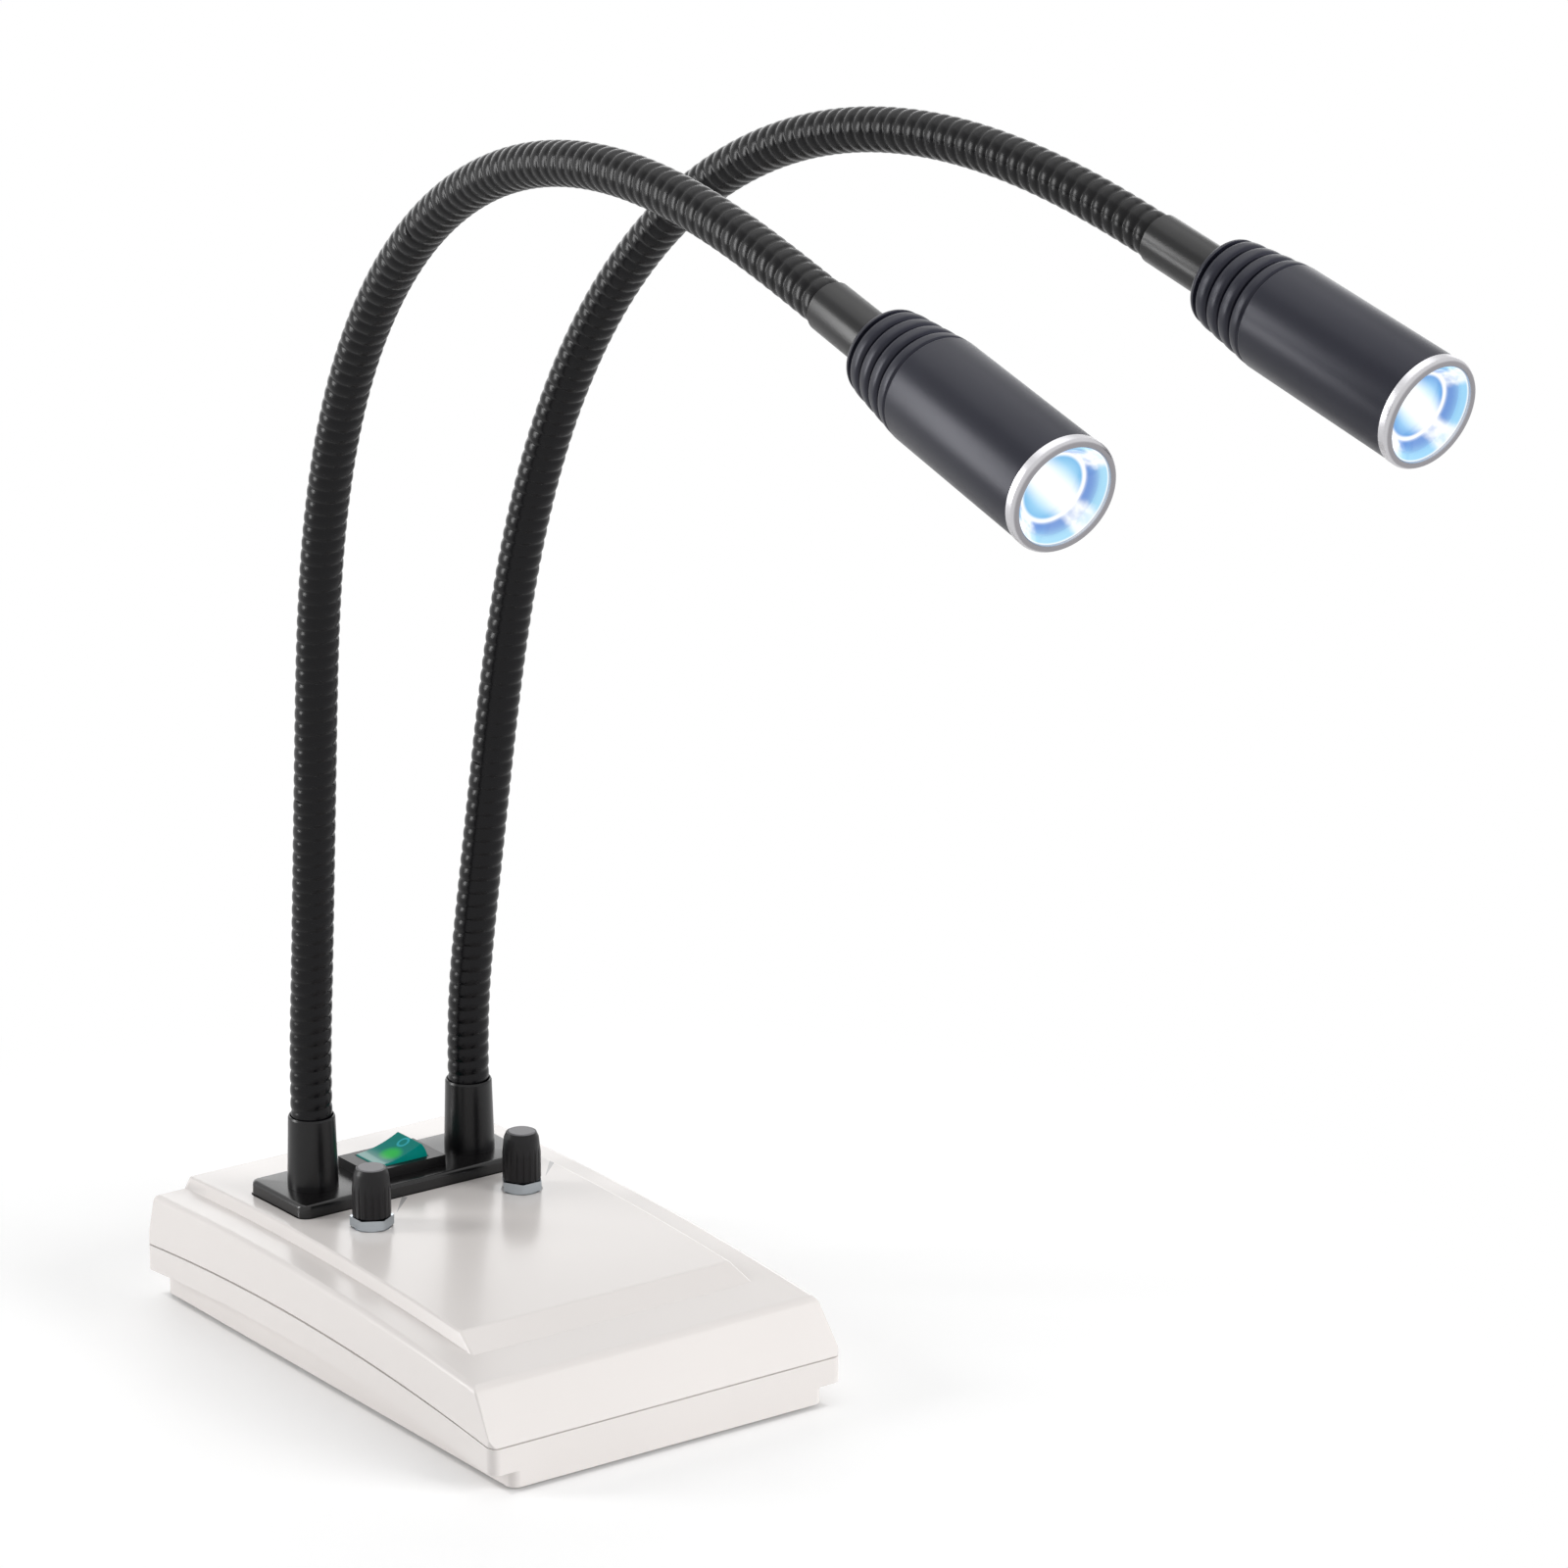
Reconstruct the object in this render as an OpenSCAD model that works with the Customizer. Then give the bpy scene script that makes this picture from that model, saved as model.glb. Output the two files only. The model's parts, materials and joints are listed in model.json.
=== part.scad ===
// Dual gooseneck illuminator: a weighted desk base with two bendable arms,
// each carrying a lamp head. Millimetres, +Z up, front of the base towards -Y.
// The origin is the middle of the anti-slip pad, on the surface the base stands on.

/* [Base] */
// Width of the base at the seam
base_w = 118; // [100:1:160]
// Length of the base at the seam, front to rear
base_l = 183; // [165:1:240]
// Radius of the upright corners
corner_r = 3; // [1:0.5:5]
// Wall of both casing halves
wall = 2.5; // [2:0.1:3]
// How far the plinth stands in at each side
plinth_inset = 6.5; // [4:0.5:9]
// Floor of the tray
floor_t = 2.5; // [2:0.1:3.5]
// Thickness of the anti-slip pad
pad_t = 1; // [0.5:0.1:2]
// How far the pad stands in from the plinth
pad_inset = 3; // [1:0.5:6]
// Radius of the lengthwise arch of the band and seam
arch_r = 900; // [800:10:1400]
// Where that arch is highest, behind the middle of the base
arch_y = 18; // [0:1:30]
// Height of the lower band's underside at the top of the arch
band_z = 12.6; // [10:0.1:14]
// Height of the seam at the top of the arch
seam_z = 20.2; // [18:0.1:22]
// Open seam between tray and cover
seam_gap = 0.3; // [0.3:0.1:0.8]
// Radius of the lengthwise crown of the cover's top
crown_r = 1200; // [900:10:1600]
// Where the crown is highest, behind the middle of the base
crown_y = 35; // [10:1:45]
// Height of the cover's border at the top of the crown
border_z = 34.1; // [32:0.1:36]
// How far the front face leans back over its height
front_lean = 9.7; // [6:0.1:12]
// How far the rear face leans forward over its height
rear_lean = 2; // [0:0.5:4]
// How far each side leans in over its height
side_lean = 1; // [0:0.1:2]

/* [Raised panel and neck plate] */
// Width of the raised panel
panel_w = 91.2; // [88:0.1:100]
// Height of the panel above the border
panel_rise = 3.3; // [2:0.1:4]
// Width of the border in front of the panel, from the front of the base
panel_margin = 27; // [20:1:34]
// Length of the ramp at the panel's front
panel_ramp = 8.5; // [4:0.5:12]
// Sloping width of the panel's sides
panel_edge = 1.6; // [0.8:0.1:2.5]
// Width of the black neck plate
plate_w = 79.5; // [76:0.5:90]
// Depth of the neck plate, front to rear
plate_d = 29.5; // [26:0.5:34]
// Height of the neck plate's top
plate_z = 41.3; // [39:0.1:43]
// Distance of the plate's middle behind the middle of the base
plate_y = 49.5; // [44:0.5:52]
// Radius of the plate's corners
plate_corner = 3; // [1:0.5:5]
// Chamfer round the top of the plate
plate_chamfer = 1.2; // [0.6:0.1:2]
// Depth of the plate's seat in the panel
seat_depth = 1.2; // [0.9:0.1:1.5]

/* [Rocker switch] */
// Radius that the rocker's ends sweep
rocker_r = 8.5; // [8:0.1:10.5]
// Width of the rocker
rocker_d = 12.6; // [9:0.1:14]
// Wall of the switch body at the rocker's ends
switch_end_wall = 0.8; // [0.6:0.1:1.2]
// Wall of the switch body at the rocker's sides
switch_side_wall = 0.9; // [0.8:0.1:1.4]
// Depth of the switch body below the plate
switch_h = 18; // [14:0.5:19]
// Width of the bezel's ledge at each end
bezel_end = 3.4; // [2:0.1:4]
// Width of the bezel's ledge at the front and rear
bezel_side = 1.2; // [1:0.1:2]
// Height of the bezel above the plate
bezel_h = 3; // [2.8:0.1:3.6]
// Tilt of the rocker to either side
rocker_tilt = 15; // [10:1:16]
// Slope of the rocker's dished top at its ends
rocker_dish = 14; // [8:1:15]
// Radius of the rocker's pivot stubs
rocker_pin_r = 1.2; // [1:0.1:1.5]

/* [Dimmer controls] */
// Distance between the two knobs
knob_spacing = 51.5; // [46:0.5:56]
// Distance of the knobs behind the middle of the base
knob_y = 20; // [16:1:24]
// Diameter of a knob at its foot
knob_d = 11.2; // [10:0.1:13]
// Height of a knob
knob_h = 14; // [12:0.5:18]
// Number of flutes round a knob
knob_flutes = 18; // [12:1:24]
// Diameter of the shaft
shaft_d = 6; // [5:0.1:7.5]
// Wall of the control's threaded bush
bush_wall = 0.7; // [0.5:0.1:1]
// Wall of the hex nut at its flats
nut_wall = 1.8; // [1.4:0.1:2.2]
// Thickness of the hex nut
nut_t = 2.8; // [2:0.1:3.2]
// How far the left nut is turned from the right one
left_nut_turn = 30; // [0:5:55]

/* [Gooseneck] */
// Outer diameter of the gooseneck
neck_d = 12.2; // [9:0.1:14]
// Bore of the gooseneck
neck_bore = 5.4; // [4:0.1:5.8]
// Free length between socket and ferrule
neck_len = 490; // [420:5:590]
// Distance between ribs
rib_pitch = 4.6; // [4.6:0.1:8]
// Depth of the groove between ribs
rib_depth = 0.6; // [0.5:0.1:1]
// Largest bend at any one joint of an arm
joint_bend = 25; // [10:1:25]
// Distance between the two sockets
socket_spacing = 54; // [48:0.5:58]
// Height of a socket above the plate
socket_h = 21.4; // [18:0.1:28]
// Wall of a socket at its foot
socket_wall = 1.1; // [1:0.1:3]
// Depth of the gooseneck's seat in its socket
socket_depth = 17; // [12:0.5:17.5]

/* [Pose of the left arm] */
// Forward lean of the riser, in degrees
left_lean = 6.1; // [0:0.1:20]
// Length of the riser before the main bend
left_riser = 117; // [60:1:200]
// Length at which the main bend ends
left_bend_end = 489; // [300:1:580]
// Final direction, in degrees from straight up
left_droop = 106.2; // [60:0.1:130]
// Sideways splay, in degrees to the right
left_splay = -1.4; // [-8:0.1:0]

/* [Pose of the right arm] */
// Forward lean of the riser, in degrees
right_lean = 5.2; // [0:0.1:20]
// Length of the riser before the main bend
right_riser = 89; // [60:1:200]
// Length at which the main bend ends
right_bend_end = 522; // [300:1:580]
// Final direction, in degrees from straight up
right_droop = 108; // [60:0.1:130]
// Sideways splay, in degrees to the right
right_splay = 4.3; // [0:0.1:8]

/* [Lamp head] */
// Diameter of the barrel at its front
barrel_d = 29.5; // [26:0.1:34]
// Diameter of the barrel at its rear
barrel_rear_d = 28.8; // [25:0.1:34]
// Length of the barrel
barrel_len = 51; // [46:0.5:66]
// Wall of the barrel
barrel_wall = 1; // [1:0.1:1.6]
// Length of the finned cap
cap_len = 21.5; // [20:0.5:30]
// Diameter of the cap's rear shoulder
cap_rear_d = 23.5; // [18:0.5:26]
// Number of grooves round the cap
cap_grooves = 4; // [2:1:5]
// Width of the front ring
ring_len = 3.4; // [2.5:0.1:5]
// How far the ring stands out from the barrel
ring_proud = 0.2; // [0.2:0.05:0.8]
// How far the front ring covers the edge of the lens
ring_cover = 0.4; // [0.4:0.05:2]
// Length of the ferrule between gooseneck and cap
ferrule_len = 23.5; // [14:0.5:28]
// Wall of the ferrule round the gooseneck
ferrule_wall = 0.5; // [0.5:0.1:2]
// Depth of the gooseneck's seat in the ferrule
ferrule_depth = 13; // [8:0.5:13]
// Depth of the lens, front to rear
lens_len = 13; // [10:0.5:16]

/* [Inside the base] */
// Thickness of the steel ballast plate
ballast_t = 6; // [4:0.5:6.5]
// Width of the ballast plate
ballast_w = 80; // [60:1:84]
// Length of the ballast plate
ballast_l = 130; // [90:1:140]
// Width of the driver board
board_w = 66; // [56:1:74]
// Length of the driver board
board_l = 46; // [40:1:50]
// Height of the stand-offs under the board
standoff_h = 5; // [3:0.5:6]
// Diameter of the power inlet's body
inlet_d = 7.8; // [7:0.1:8]
// Distance of the power inlet to the right of the middle
inlet_x = 30; // [20:1:34]

/* [Fits] */
// Play round parts that only pass through or stand beside each other
play = 0.3; // [0.2:0.05:0.4]
// Radial clearance of turning shafts and pins
run_fit = 0.05; // [0.02:0.01:0.1]

/* [Hidden] */
$fn = 96;
ARCH_FN = 720;
far = 400;

// Casing levels and places
plinth_w = base_w - 2 * plinth_inset;
floor_z = pad_t + floor_t;
panel_z = border_z + panel_rise;
panel_front = -base_l / 2 + panel_margin;
panel_rear = base_l / 2;
arch_drop_front = (base_l / 2 + arch_y) * (base_l / 2 + arch_y) / (2 * arch_r);
seam_front_z = seam_z - arch_drop_front;
function crown_drop(y) = crown_r - sqrt(crown_r * crown_r - (y - crown_y) * (y - crown_y));
lean_height = border_z - seam_z;
seat_z = panel_z - seat_depth;
land_z = seat_z - wall - 1.2;
land_edge = 3;
post_d = 9;
post_x = plinth_w / 2 - wall - post_d / 2 - 0.5;
post_y = base_l / 2 - wall - post_d / 2 - 4;
post_z = 14;
case_screw_d = 3;
case_screw_head_d = 5.6;
case_screw_head_h = 1.4;
case_screw_grip = 8;

// Switch
switch_l = 2 * (rocker_r + play + switch_end_wall);
switch_d = rocker_d + 2 * (play + switch_side_wall);
bezel_l = switch_l + 2 * bezel_end;
bezel_d = switch_d + 2 * bezel_side;
pivot_z = plate_z + bezel_h / 2 - 0.1;
rocker_under = 4;
rocker_crown = 3.2;
pin_reach = 1.1;
blade = [0.8, 4.8, 7];
blade_pitch = 7;

// Dimmers
knob_x = knob_spacing / 2;
control_land_z = panel_z - wall - 0.5;
control_land_d = 20;
spot_depth = 0.3;
bush_d = shaft_d + 2 * bush_wall;
nut_af = bush_d + 2 * nut_wall;
washer_d = nut_af;
spot_d = washer_d + 0.8;
washer_t = 0.6;
pot_d = 16.5;
pot_h = 8;
pot_z = control_land_z - pot_h;
pot_floor = 2;
nut_z = panel_z - spot_depth + washer_t;
knob_z = nut_z + nut_t + 0.4;
bush_top_z = nut_z + nut_t + 1.4;
bush_room = 0.5;
shaft_top_z = knob_z + knob_h - 4;
cap_disc_d = 8;
cap_disc_t = 1;
cap_disc_sunk = 0.7;

// Gooseneck: the arm eases into the riser's lean and then goes through one smooth bend
neck_r = neck_d / 2;
root_r = neck_r - rib_depth;
bore_r = neck_bore / 2;
socket_x = socket_spacing / 2;
socket_top_z = plate_z + socket_h;
neck_fit = 0.2;
end_gap = 0.3;
neck_start = end_gap - socket_depth;
neck_end = neck_len + ferrule_depth - end_gap;
socket_rim = 0.75;
socket_foot = 1.5;
socket_lip = [0.25, 0.6];
socket_d = neck_d + 2 * (neck_fit + socket_wall);
lean_ease = 40;
splay_ease = 60;
path_step = 1;
sides = 8;
JOINTS = 5;
SEGMENTS = JOINTS + 1;
ball_r = neck_r - 1.3;
cup_r = neck_r - 0.45;
setback = neck_r * sin(joint_bend) + 0.9;
bore_rings = 5;
stud_d = 10;
stud_len = 15;
socket_nut_af = 14;
socket_nut_t = 4;
lead_d = 6;

left = [-socket_x, left_lean, left_riser, left_bend_end, left_droop, left_splay];
right = [socket_x, right_lean, right_riser, right_bend_end, right_droop, right_splay];

function smooth(u) = let (v = min(max(u, 0), 1)) v * v * (3 - 2 * v);
function forward_angle(arm, s) =
    arm[1] * smooth(s / lean_ease) + (arm[4] - arm[1]) * smooth((s - arm[2]) / (arm[3] - arm[2]));
function side_angle(arm, s) = arm[5] * smooth(s / splay_ease);
function tangent(arm, s) =
    let (a = forward_angle(arm, s), b = side_angle(arm, s)) [sin(b), -cos(b) * sin(a), cos(b) * cos(a)];
function arm_path(arm) = [
    for (
        i = 0, p = [arm[0], plate_y, socket_top_z + neck_start];
        i * path_step <= neck_end - neck_start + path_step;
        p = p + path_step * tangent(arm, neck_start + (i + 0.5) * path_step), i = i + 1
    ) p
];
left_path = arm_path(left);
right_path = arm_path(right);
function path_of(arm) = arm[0] < 0 ? left_path : right_path;
function point_at(arm, s) =
    let (path = path_of(arm), u = (s - neck_start) / path_step, i = max(floor(u), 0))
    path[i] + (path[i + 1] - path[i]) * (u - i);
function unit(v) = v / norm(v);
function across_at(arm, s) = let (t = tangent(arm, s)) unit([1, 0, 0] - t * t.x);
function joint_at(j) = neck_len * (j - 0.5) / JOINTS;

// One gooseneck segment as stations [length, radius] round its closed outline
function rib_stations(from, to) =
    let (count = floor((to - from) / rib_pitch), step = (to - from) / count)
    [for (i = [0:2 * count]) [from + i * step / 2, i % 2 == 0 ? neck_r : root_r]];
function ball_stations(s) = [for (a = [-32, 0, 35]) [s + ball_r * sin(a), ball_r * cos(a)]];
function cup_stations(s) = [for (a = [30, 0]) [s + cup_r * sin(a), cup_r * cos(a)]];
function rim_height(r) = sqrt(r * r - bore_r * bore_r);
function bore_stations(from, to) = [for (i = [0:bore_rings]) [from + (to - from) * i / bore_rings, bore_r]];
function segment_stations(i) =
    let (
        first = i == 1,
        last = i == SEGMENTS,
        low = first ? neck_start : joint_at(i - 1),
        high = last ? neck_end : joint_at(i),
        bore_low = first ? low : low + rim_height(cup_r),
        bore_high = last ? high : high + rim_height(ball_r)
    )
    concat(
        rib_stations(low, last ? high : high - setback),
        last ? [] : ball_stations(high),
        bore_stations(bore_high, bore_low),
        first ? [] : cup_stations(low)
    );
function ring_points(arm, station) =
    let (
        s = station[0],
        p = point_at(arm, s),
        u = across_at(arm, s),
        v = cross(tangent(arm, s), u)
    )
    [for (k = [0:sides - 1]) p + station[1] * (cos(360 * k / sides) * u + sin(360 * k / sides) * v)];
function ring_faces(j, rings) =
    let (a = j * sides, b = ((j + 1) % rings) * sides)
    [
        for (k = [0:sides - 1])
        let (n = (k + 1) % sides)
        each [[a + k, b + k, b + n], [a + k, b + n, a + n]]
    ];

// Lamp head, measured along its axis from the gooseneck's end
cap_z = ferrule_len;
barrel_z = cap_z + cap_len;
ring_z = barrel_z + barrel_len;
head_front = ring_z + ring_len;
ferrule_d = neck_d + 2 * (neck_fit + ferrule_wall);
ferrule_stub_d = 9;
ferrule_stub = 6;
spigot_len = 8;
spigot_r = barrel_rear_d / 2 - barrel_wall - run_fit;
groove_pitch = cap_len / (cap_grooves + 0.5);
groove_start = 0.45;
groove_r = 0.9;
ring_r = barrel_d / 2 + ring_proud;
ring_lip = 1.2;
ring_seat = 1.4;
lens_front_z = ring_z + ring_seat;
lens_flange_t = 1.6;
lens_rear_d = 9;
skirt_r = barrel_d / 2 - barrel_wall - run_fit;
skirt_wall = 0.7;
skirt_bore_r = skirt_r - skirt_wall;
lens_flange_r = skirt_bore_r - run_fit;
led_board_t = 1.6;
led_board_d = 20;
led_base = 5;
led_base_t = 0.8;
led_dome_r = 1.8;
holder_z = barrel_z + spigot_len + led_board_t;
lens_z = lens_front_z - lens_len;
holder_wall = 1.2;
holder_r = min(skirt_bore_r - 0.2, barrel_rear_d / 2 - barrel_wall - play);
holder_slot_d = 12;

// Inside the base
ballast_z = floor_z;
board_z = ballast_z + ballast_t + standoff_h;
board_t = 1.6;
board_y = -28;
board_hole_x = board_w / 2 - 4;
board_hole_y = board_l / 2 - 4;
standoff_af = 5;
small_screw_d = 2.5;
small_head_d = 5;
small_head_h = 1.8;
ballast_screw_d = 4;
ballast_head_d = 7;
ballast_head_h = 2.4;
ballast_screw_x = ballast_w / 2 - 7;
ballast_screw_y = ballast_l / 2 - 7;
inlet_seat_y = base_l / 2 - rear_lean - 1.2;
inlet_flange_d = 10.6;
inlet_flange_t = 1.6;
inlet_len = 14;
inlet_bore_d = 5.7;
inlet_pin_d = 2;
inlet_nut_af = 10;
inlet_nut_t = 2.4;
inlet_pad = 18;
inlet_z = border_z - crown_drop(base_l / 2) - wall - inlet_nut_af / cos(30) / 2 - play;

casing_white = "#E6E3DE";
satin_black = "#2B2B30";

// Shared shapes

module rounded_slab(w, l, r, h) {
    linear_extrude(h) {
        square([w - 2 * r, l], center = true);
        square([w, l - 2 * r], center = true);
        for (x = [-1, 1], y = [-1, 1])
            translate([x * (w / 2 - r), y * (l / 2 - r)])
                circle(r);
    }
}

// Everything below an arch of radius r whose top is at height z
module under_arch(z, y = arch_y, r = arch_r) {
    translate([0, y, z - r])
        rotate([0, 90, 0])
            cylinder(r = r, h = far, center = true, $fn = ARCH_FN);
}

module hex_prism(af, h) {
    cylinder(d = af / cos(30), h = h, $fn = 6);
}

module at_corners(x, y) {
    for (sx = [-1, 1], sy = [-1, 1])
        translate([sx * x, sy * y, 0])
            children();
}

module at_knob(side) {
    translate([side * knob_x, knob_y, 0])
        children();
}

module at_each_knob() {
    at_knob(-1)
        children();
    at_knob(1)
        children();
}

module at_each_socket() {
    for (side = [-1, 1])
        translate([side * socket_x, plate_y, 0])
            children();
}

// Places children with their Z axis along the arm at its far end
module at_head(arm) {
    p = point_at(arm, neck_len);
    t = tangent(arm, neck_len);
    u = across_at(arm, neck_len);
    v = cross(t, u);
    multmatrix([
        [u.x, v.x, t.x, p.x],
        [u.y, v.y, t.y, p.y],
        [u.z, v.z, t.z, p.z],
        [0, 0, 0, 1]
    ])
        children();
}

module turned(points) {
    rotate_extrude()
        polygon(points);
}

// Casing

module foot_pad() {
    color("#2A2A2A")
        difference() {
            rounded_slab(plinth_w - 2 * pad_inset, base_l - 2 * pad_inset, corner_r, pad_t);
            translate([0, 0, -pad_t])
                at_corners(post_x, post_y)
                    cylinder(d = case_screw_head_d + 3, h = 3 * pad_t);
        }
}

module tray_band() {
    intersection() {
        translate([0, 0, pad_t])
            rounded_slab(base_w, base_l, corner_r, seam_z);
        under_arch(seam_z);
    }
}

module tray_hollow() {
    translate([0, 0, floor_z])
        rounded_slab(plinth_w - 2 * wall, base_l - 2 * wall, corner_r / 2, seam_z);
    difference() {
        translate([0, 0, floor_z])
            rounded_slab(base_w - 2 * wall, base_l - 2 * wall, corner_r / 2, seam_z);
        under_arch(band_z + wall);
    }
}

module bottom_tray() {
    color(casing_white)
        difference() {
            union() {
                difference() {
                    union() {
                        difference() {
                            tray_band();
                            under_arch(band_z);
                        }
                        intersection() {
                            translate([0, 0, pad_t])
                                rounded_slab(plinth_w, base_l, corner_r, seam_z);
                            under_arch(band_z);
                        }
                    }
                    tray_hollow();
                }
                at_corners(post_x, post_y)
                    translate([0, 0, pad_t + floor_t / 2])
                        cylinder(d = post_d, h = post_z - pad_t - floor_t / 2);
            }
            at_corners(post_x, post_y) {
                cylinder(d = case_screw_d + 2 * play, h = far);
                cylinder(d = case_screw_head_d + 2 * play, h = pad_t + case_screw_head_h + play);
            }
            translate([0, 0, floor_z - floor_t + 0.6])
                at_corners(ballast_screw_x, ballast_screw_y)
                    cylinder(d = ballast_screw_d + 2 * run_fit, h = floor_t);
        }
}

// Cover's block drawn in by t on every side and lowered by t
module cover_block(t) {
    low = seam_front_z;
    high = panel_z + 10;
    front_slope = front_lean / lean_height;
    rear_slope = rear_lean / lean_height;
    side_slope = side_lean / lean_height;
    front = -base_l / 2 + t;
    rear = base_l / 2 - t;
    half = base_w / 2 - t;
    rise = high - low;
    intersection() {
        translate([far / 2, 0, 0])
            rotate([0, -90, 0])
                linear_extrude(far)
                    polygon([
                        [0, front],
                        [low, front],
                        [high, front + rise * front_slope],
                        [high, rear - rise * rear_slope],
                        [low, rear],
                        [0, rear]
                    ]);
        translate([0, far / 2, 0])
            rotate([90, 0, 0])
                linear_extrude(far)
                    polygon([
                        [-half, 0],
                        [half, 0],
                        [half, low],
                        [half - rise * side_slope, high],
                        [-half + rise * side_slope, high],
                        [-half, low]
                    ]);
        rounded_slab(base_w - 2 * t, base_l - 2 * t, max(corner_r - t, 0.5), high);
    }
}

// Everything below the panel's crown and sloping sides, drawn in by t
module under_panel(t) {
    half = panel_w / 2 - t;
    skirt = half + 2 * panel_edge;
    skirt_r = crown_r - 2 * panel_rise;
    translate([0, crown_y, panel_z - t - crown_r])
        rotate([0, 90, 0])
            turned([
                [0, -skirt],
                [skirt_r, -skirt],
                [crown_r, -half],
                [crown_r, half],
                [skirt_r, skirt],
                [0, skirt]
            ], $fn = ARCH_FN);
}

// Everything behind the ramp at the panel's front, drawn in by t
module behind_ramp(t) {
    low = border_z - crown_drop(panel_front);
    climb = panel_z - crown_drop(panel_front + panel_ramp) - low;
    foot = panel_front + t * norm([panel_ramp, climb]) / climb;
    top = panel_z + panel_rise;
    translate([far / 2, 0, 0])
        rotate([0, -90, 0])
            linear_extrude(far)
                polygon([
                    [0, foot - low * panel_ramp / climb],
                    [top, foot + (top - low) * panel_ramp / climb],
                    [top, panel_rear],
                    [0, panel_rear]
                ]);
}

module cover_form(t) {
    intersection() {
        cover_block(t);
        under_arch(border_z - t, crown_y, crown_r);
    }
    intersection() {
        cover_block(t);
        behind_ramp(t);
        under_panel(t);
    }
}

// Lands and posts moulded inside the cover
module cover_inside() {
    intersection() {
        cover_form(wall / 2);
        union() {
            translate([-plate_w / 2 - land_edge, plate_y - plate_d / 2 - land_edge, land_z])
                cube([plate_w + 2 * land_edge, plate_d + 2 * land_edge, far]);
            at_each_knob()
                translate([0, 0, control_land_z])
                    cylinder(d = control_land_d, h = far);
            translate([inlet_x - inlet_pad / 2, inlet_seat_y - wall, seam_z + 1])
                cube([inlet_pad, far, far]);
            at_corners(post_x, post_y)
                translate([0, 0, post_z])
                    cylinder(d = post_d, h = far);
        }
    }
}

module top_cover() {
    color(casing_white)
        difference() {
            union() {
                difference() {
                    cover_form(0);
                    cover_form(wall);
                    under_arch(seam_z + seam_gap);
                }
                cover_inside();
            }
            translate([0, plate_y, seat_z])
                rounded_slab(plate_w + 2 * play, plate_d + 2 * play, plate_corner + play, far);
            at_each_socket()
                cylinder(d = stud_d + 2 * play, h = far);
            translate([0, plate_y, 0])
                linear_extrude(far)
                    square([switch_l + 2 * play, switch_d + 2 * play], center = true);
            at_each_knob() {
                cylinder(d = bush_d + 2 * play, h = far);
                translate([0, 0, panel_z - spot_depth])
                    cylinder(d = spot_d, h = far);
            }
            translate([inlet_x, 0, inlet_z])
                rotate([-90, 0, 0]) {
                    cylinder(d = inlet_d + 2 * play, h = far);
                    translate([0, 0, inlet_seat_y])
                        cylinder(d = inlet_flange_d + 2 * play, h = far);
                }
            at_corners(post_x, post_y)
                cylinder(d = case_screw_d + 2 * run_fit, h = post_z + case_screw_grip + 1);
        }
}

module case_screws() {
    color("silver")
        at_corners(post_x, post_y)
            difference() {
                union() {
                    translate([0, 0, pad_t])
                        cylinder(d = case_screw_head_d, h = case_screw_head_h + play);
                    translate([0, 0, pad_t])
                        cylinder(d = case_screw_d, h = post_z - pad_t + case_screw_grip);
                }
                hex_prism(2.5, pad_t + 1);
            }
}

// Inside the base

module ballast_plate() {
    color("#8A8D90")
        difference() {
            translate([0, 0, ballast_z])
                rounded_slab(ballast_w, ballast_l, 4, ballast_t);
            at_corners(ballast_screw_x, ballast_screw_y)
                cylinder(d = ballast_screw_d + 2 * play, h = far);
        }
}

module ballast_screws() {
    top = ballast_z + ballast_t;
    color("silver")
        at_corners(ballast_screw_x, ballast_screw_y)
            difference() {
                union() {
                    translate([0, 0, floor_z - floor_t + 0.8])
                        cylinder(d = ballast_screw_d, h = top - floor_z + floor_t - 0.8);
                    translate([0, 0, top])
                        cylinder(d = ballast_head_d, h = ballast_head_h);
                }
                translate([0, 0, top + 1])
                    hex_prism(3, far);
            }
}

module at_board_holes() {
    translate([0, board_y, 0])
        at_corners(board_hole_x, board_hole_y)
            children();
}

module board_standoffs() {
    color("#C9A64A")
        at_board_holes()
            difference() {
                translate([0, 0, board_z - standoff_h])
                    hex_prism(standoff_af, standoff_h);
                translate([0, 0, board_z - standoff_h + 0.6])
                    cylinder(d = small_screw_d + 2 * run_fit, h = far);
            }
}

module driver_board() {
    color("#1F6B3A")
        difference() {
            translate([0, board_y, board_z])
                rounded_slab(board_w, board_l, 2, board_t);
            at_board_holes()
                cylinder(d = small_screw_d + 2 * play, h = far);
        }
}

module board_screws() {
    color("silver")
        at_board_holes()
            union() {
                translate([0, 0, board_z - standoff_h + 1])
                    cylinder(d = small_screw_d, h = standoff_h + board_t - 1);
                translate([0, 0, board_z + board_t])
                    cylinder(d = small_head_d, h = small_head_h);
            }
}

// Coils, capacitors and sockets standing on the board
module driver_parts() {
    top = board_z + board_t;
    coil_d = 11;
    coil_h = 6;
    can_d = 6;
    can_h = 9;
    socket_size = [10, 6, 7];
    color("#3A3A3E")
        translate([0, board_y, top]) {
            for (x = [-1, 1]) {
                translate([x * board_w / 6, 2, 0])
                    cylinder(d = coil_d, h = coil_h);
                translate([x * board_w / 3, 2, 0])
                    cylinder(d = can_d, h = can_h);
                translate([x * board_w / 5 - socket_size.x / 2, board_l / 2 - socket_size.y - 1, 0])
                    cube(socket_size);
            }
        }
}

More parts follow.
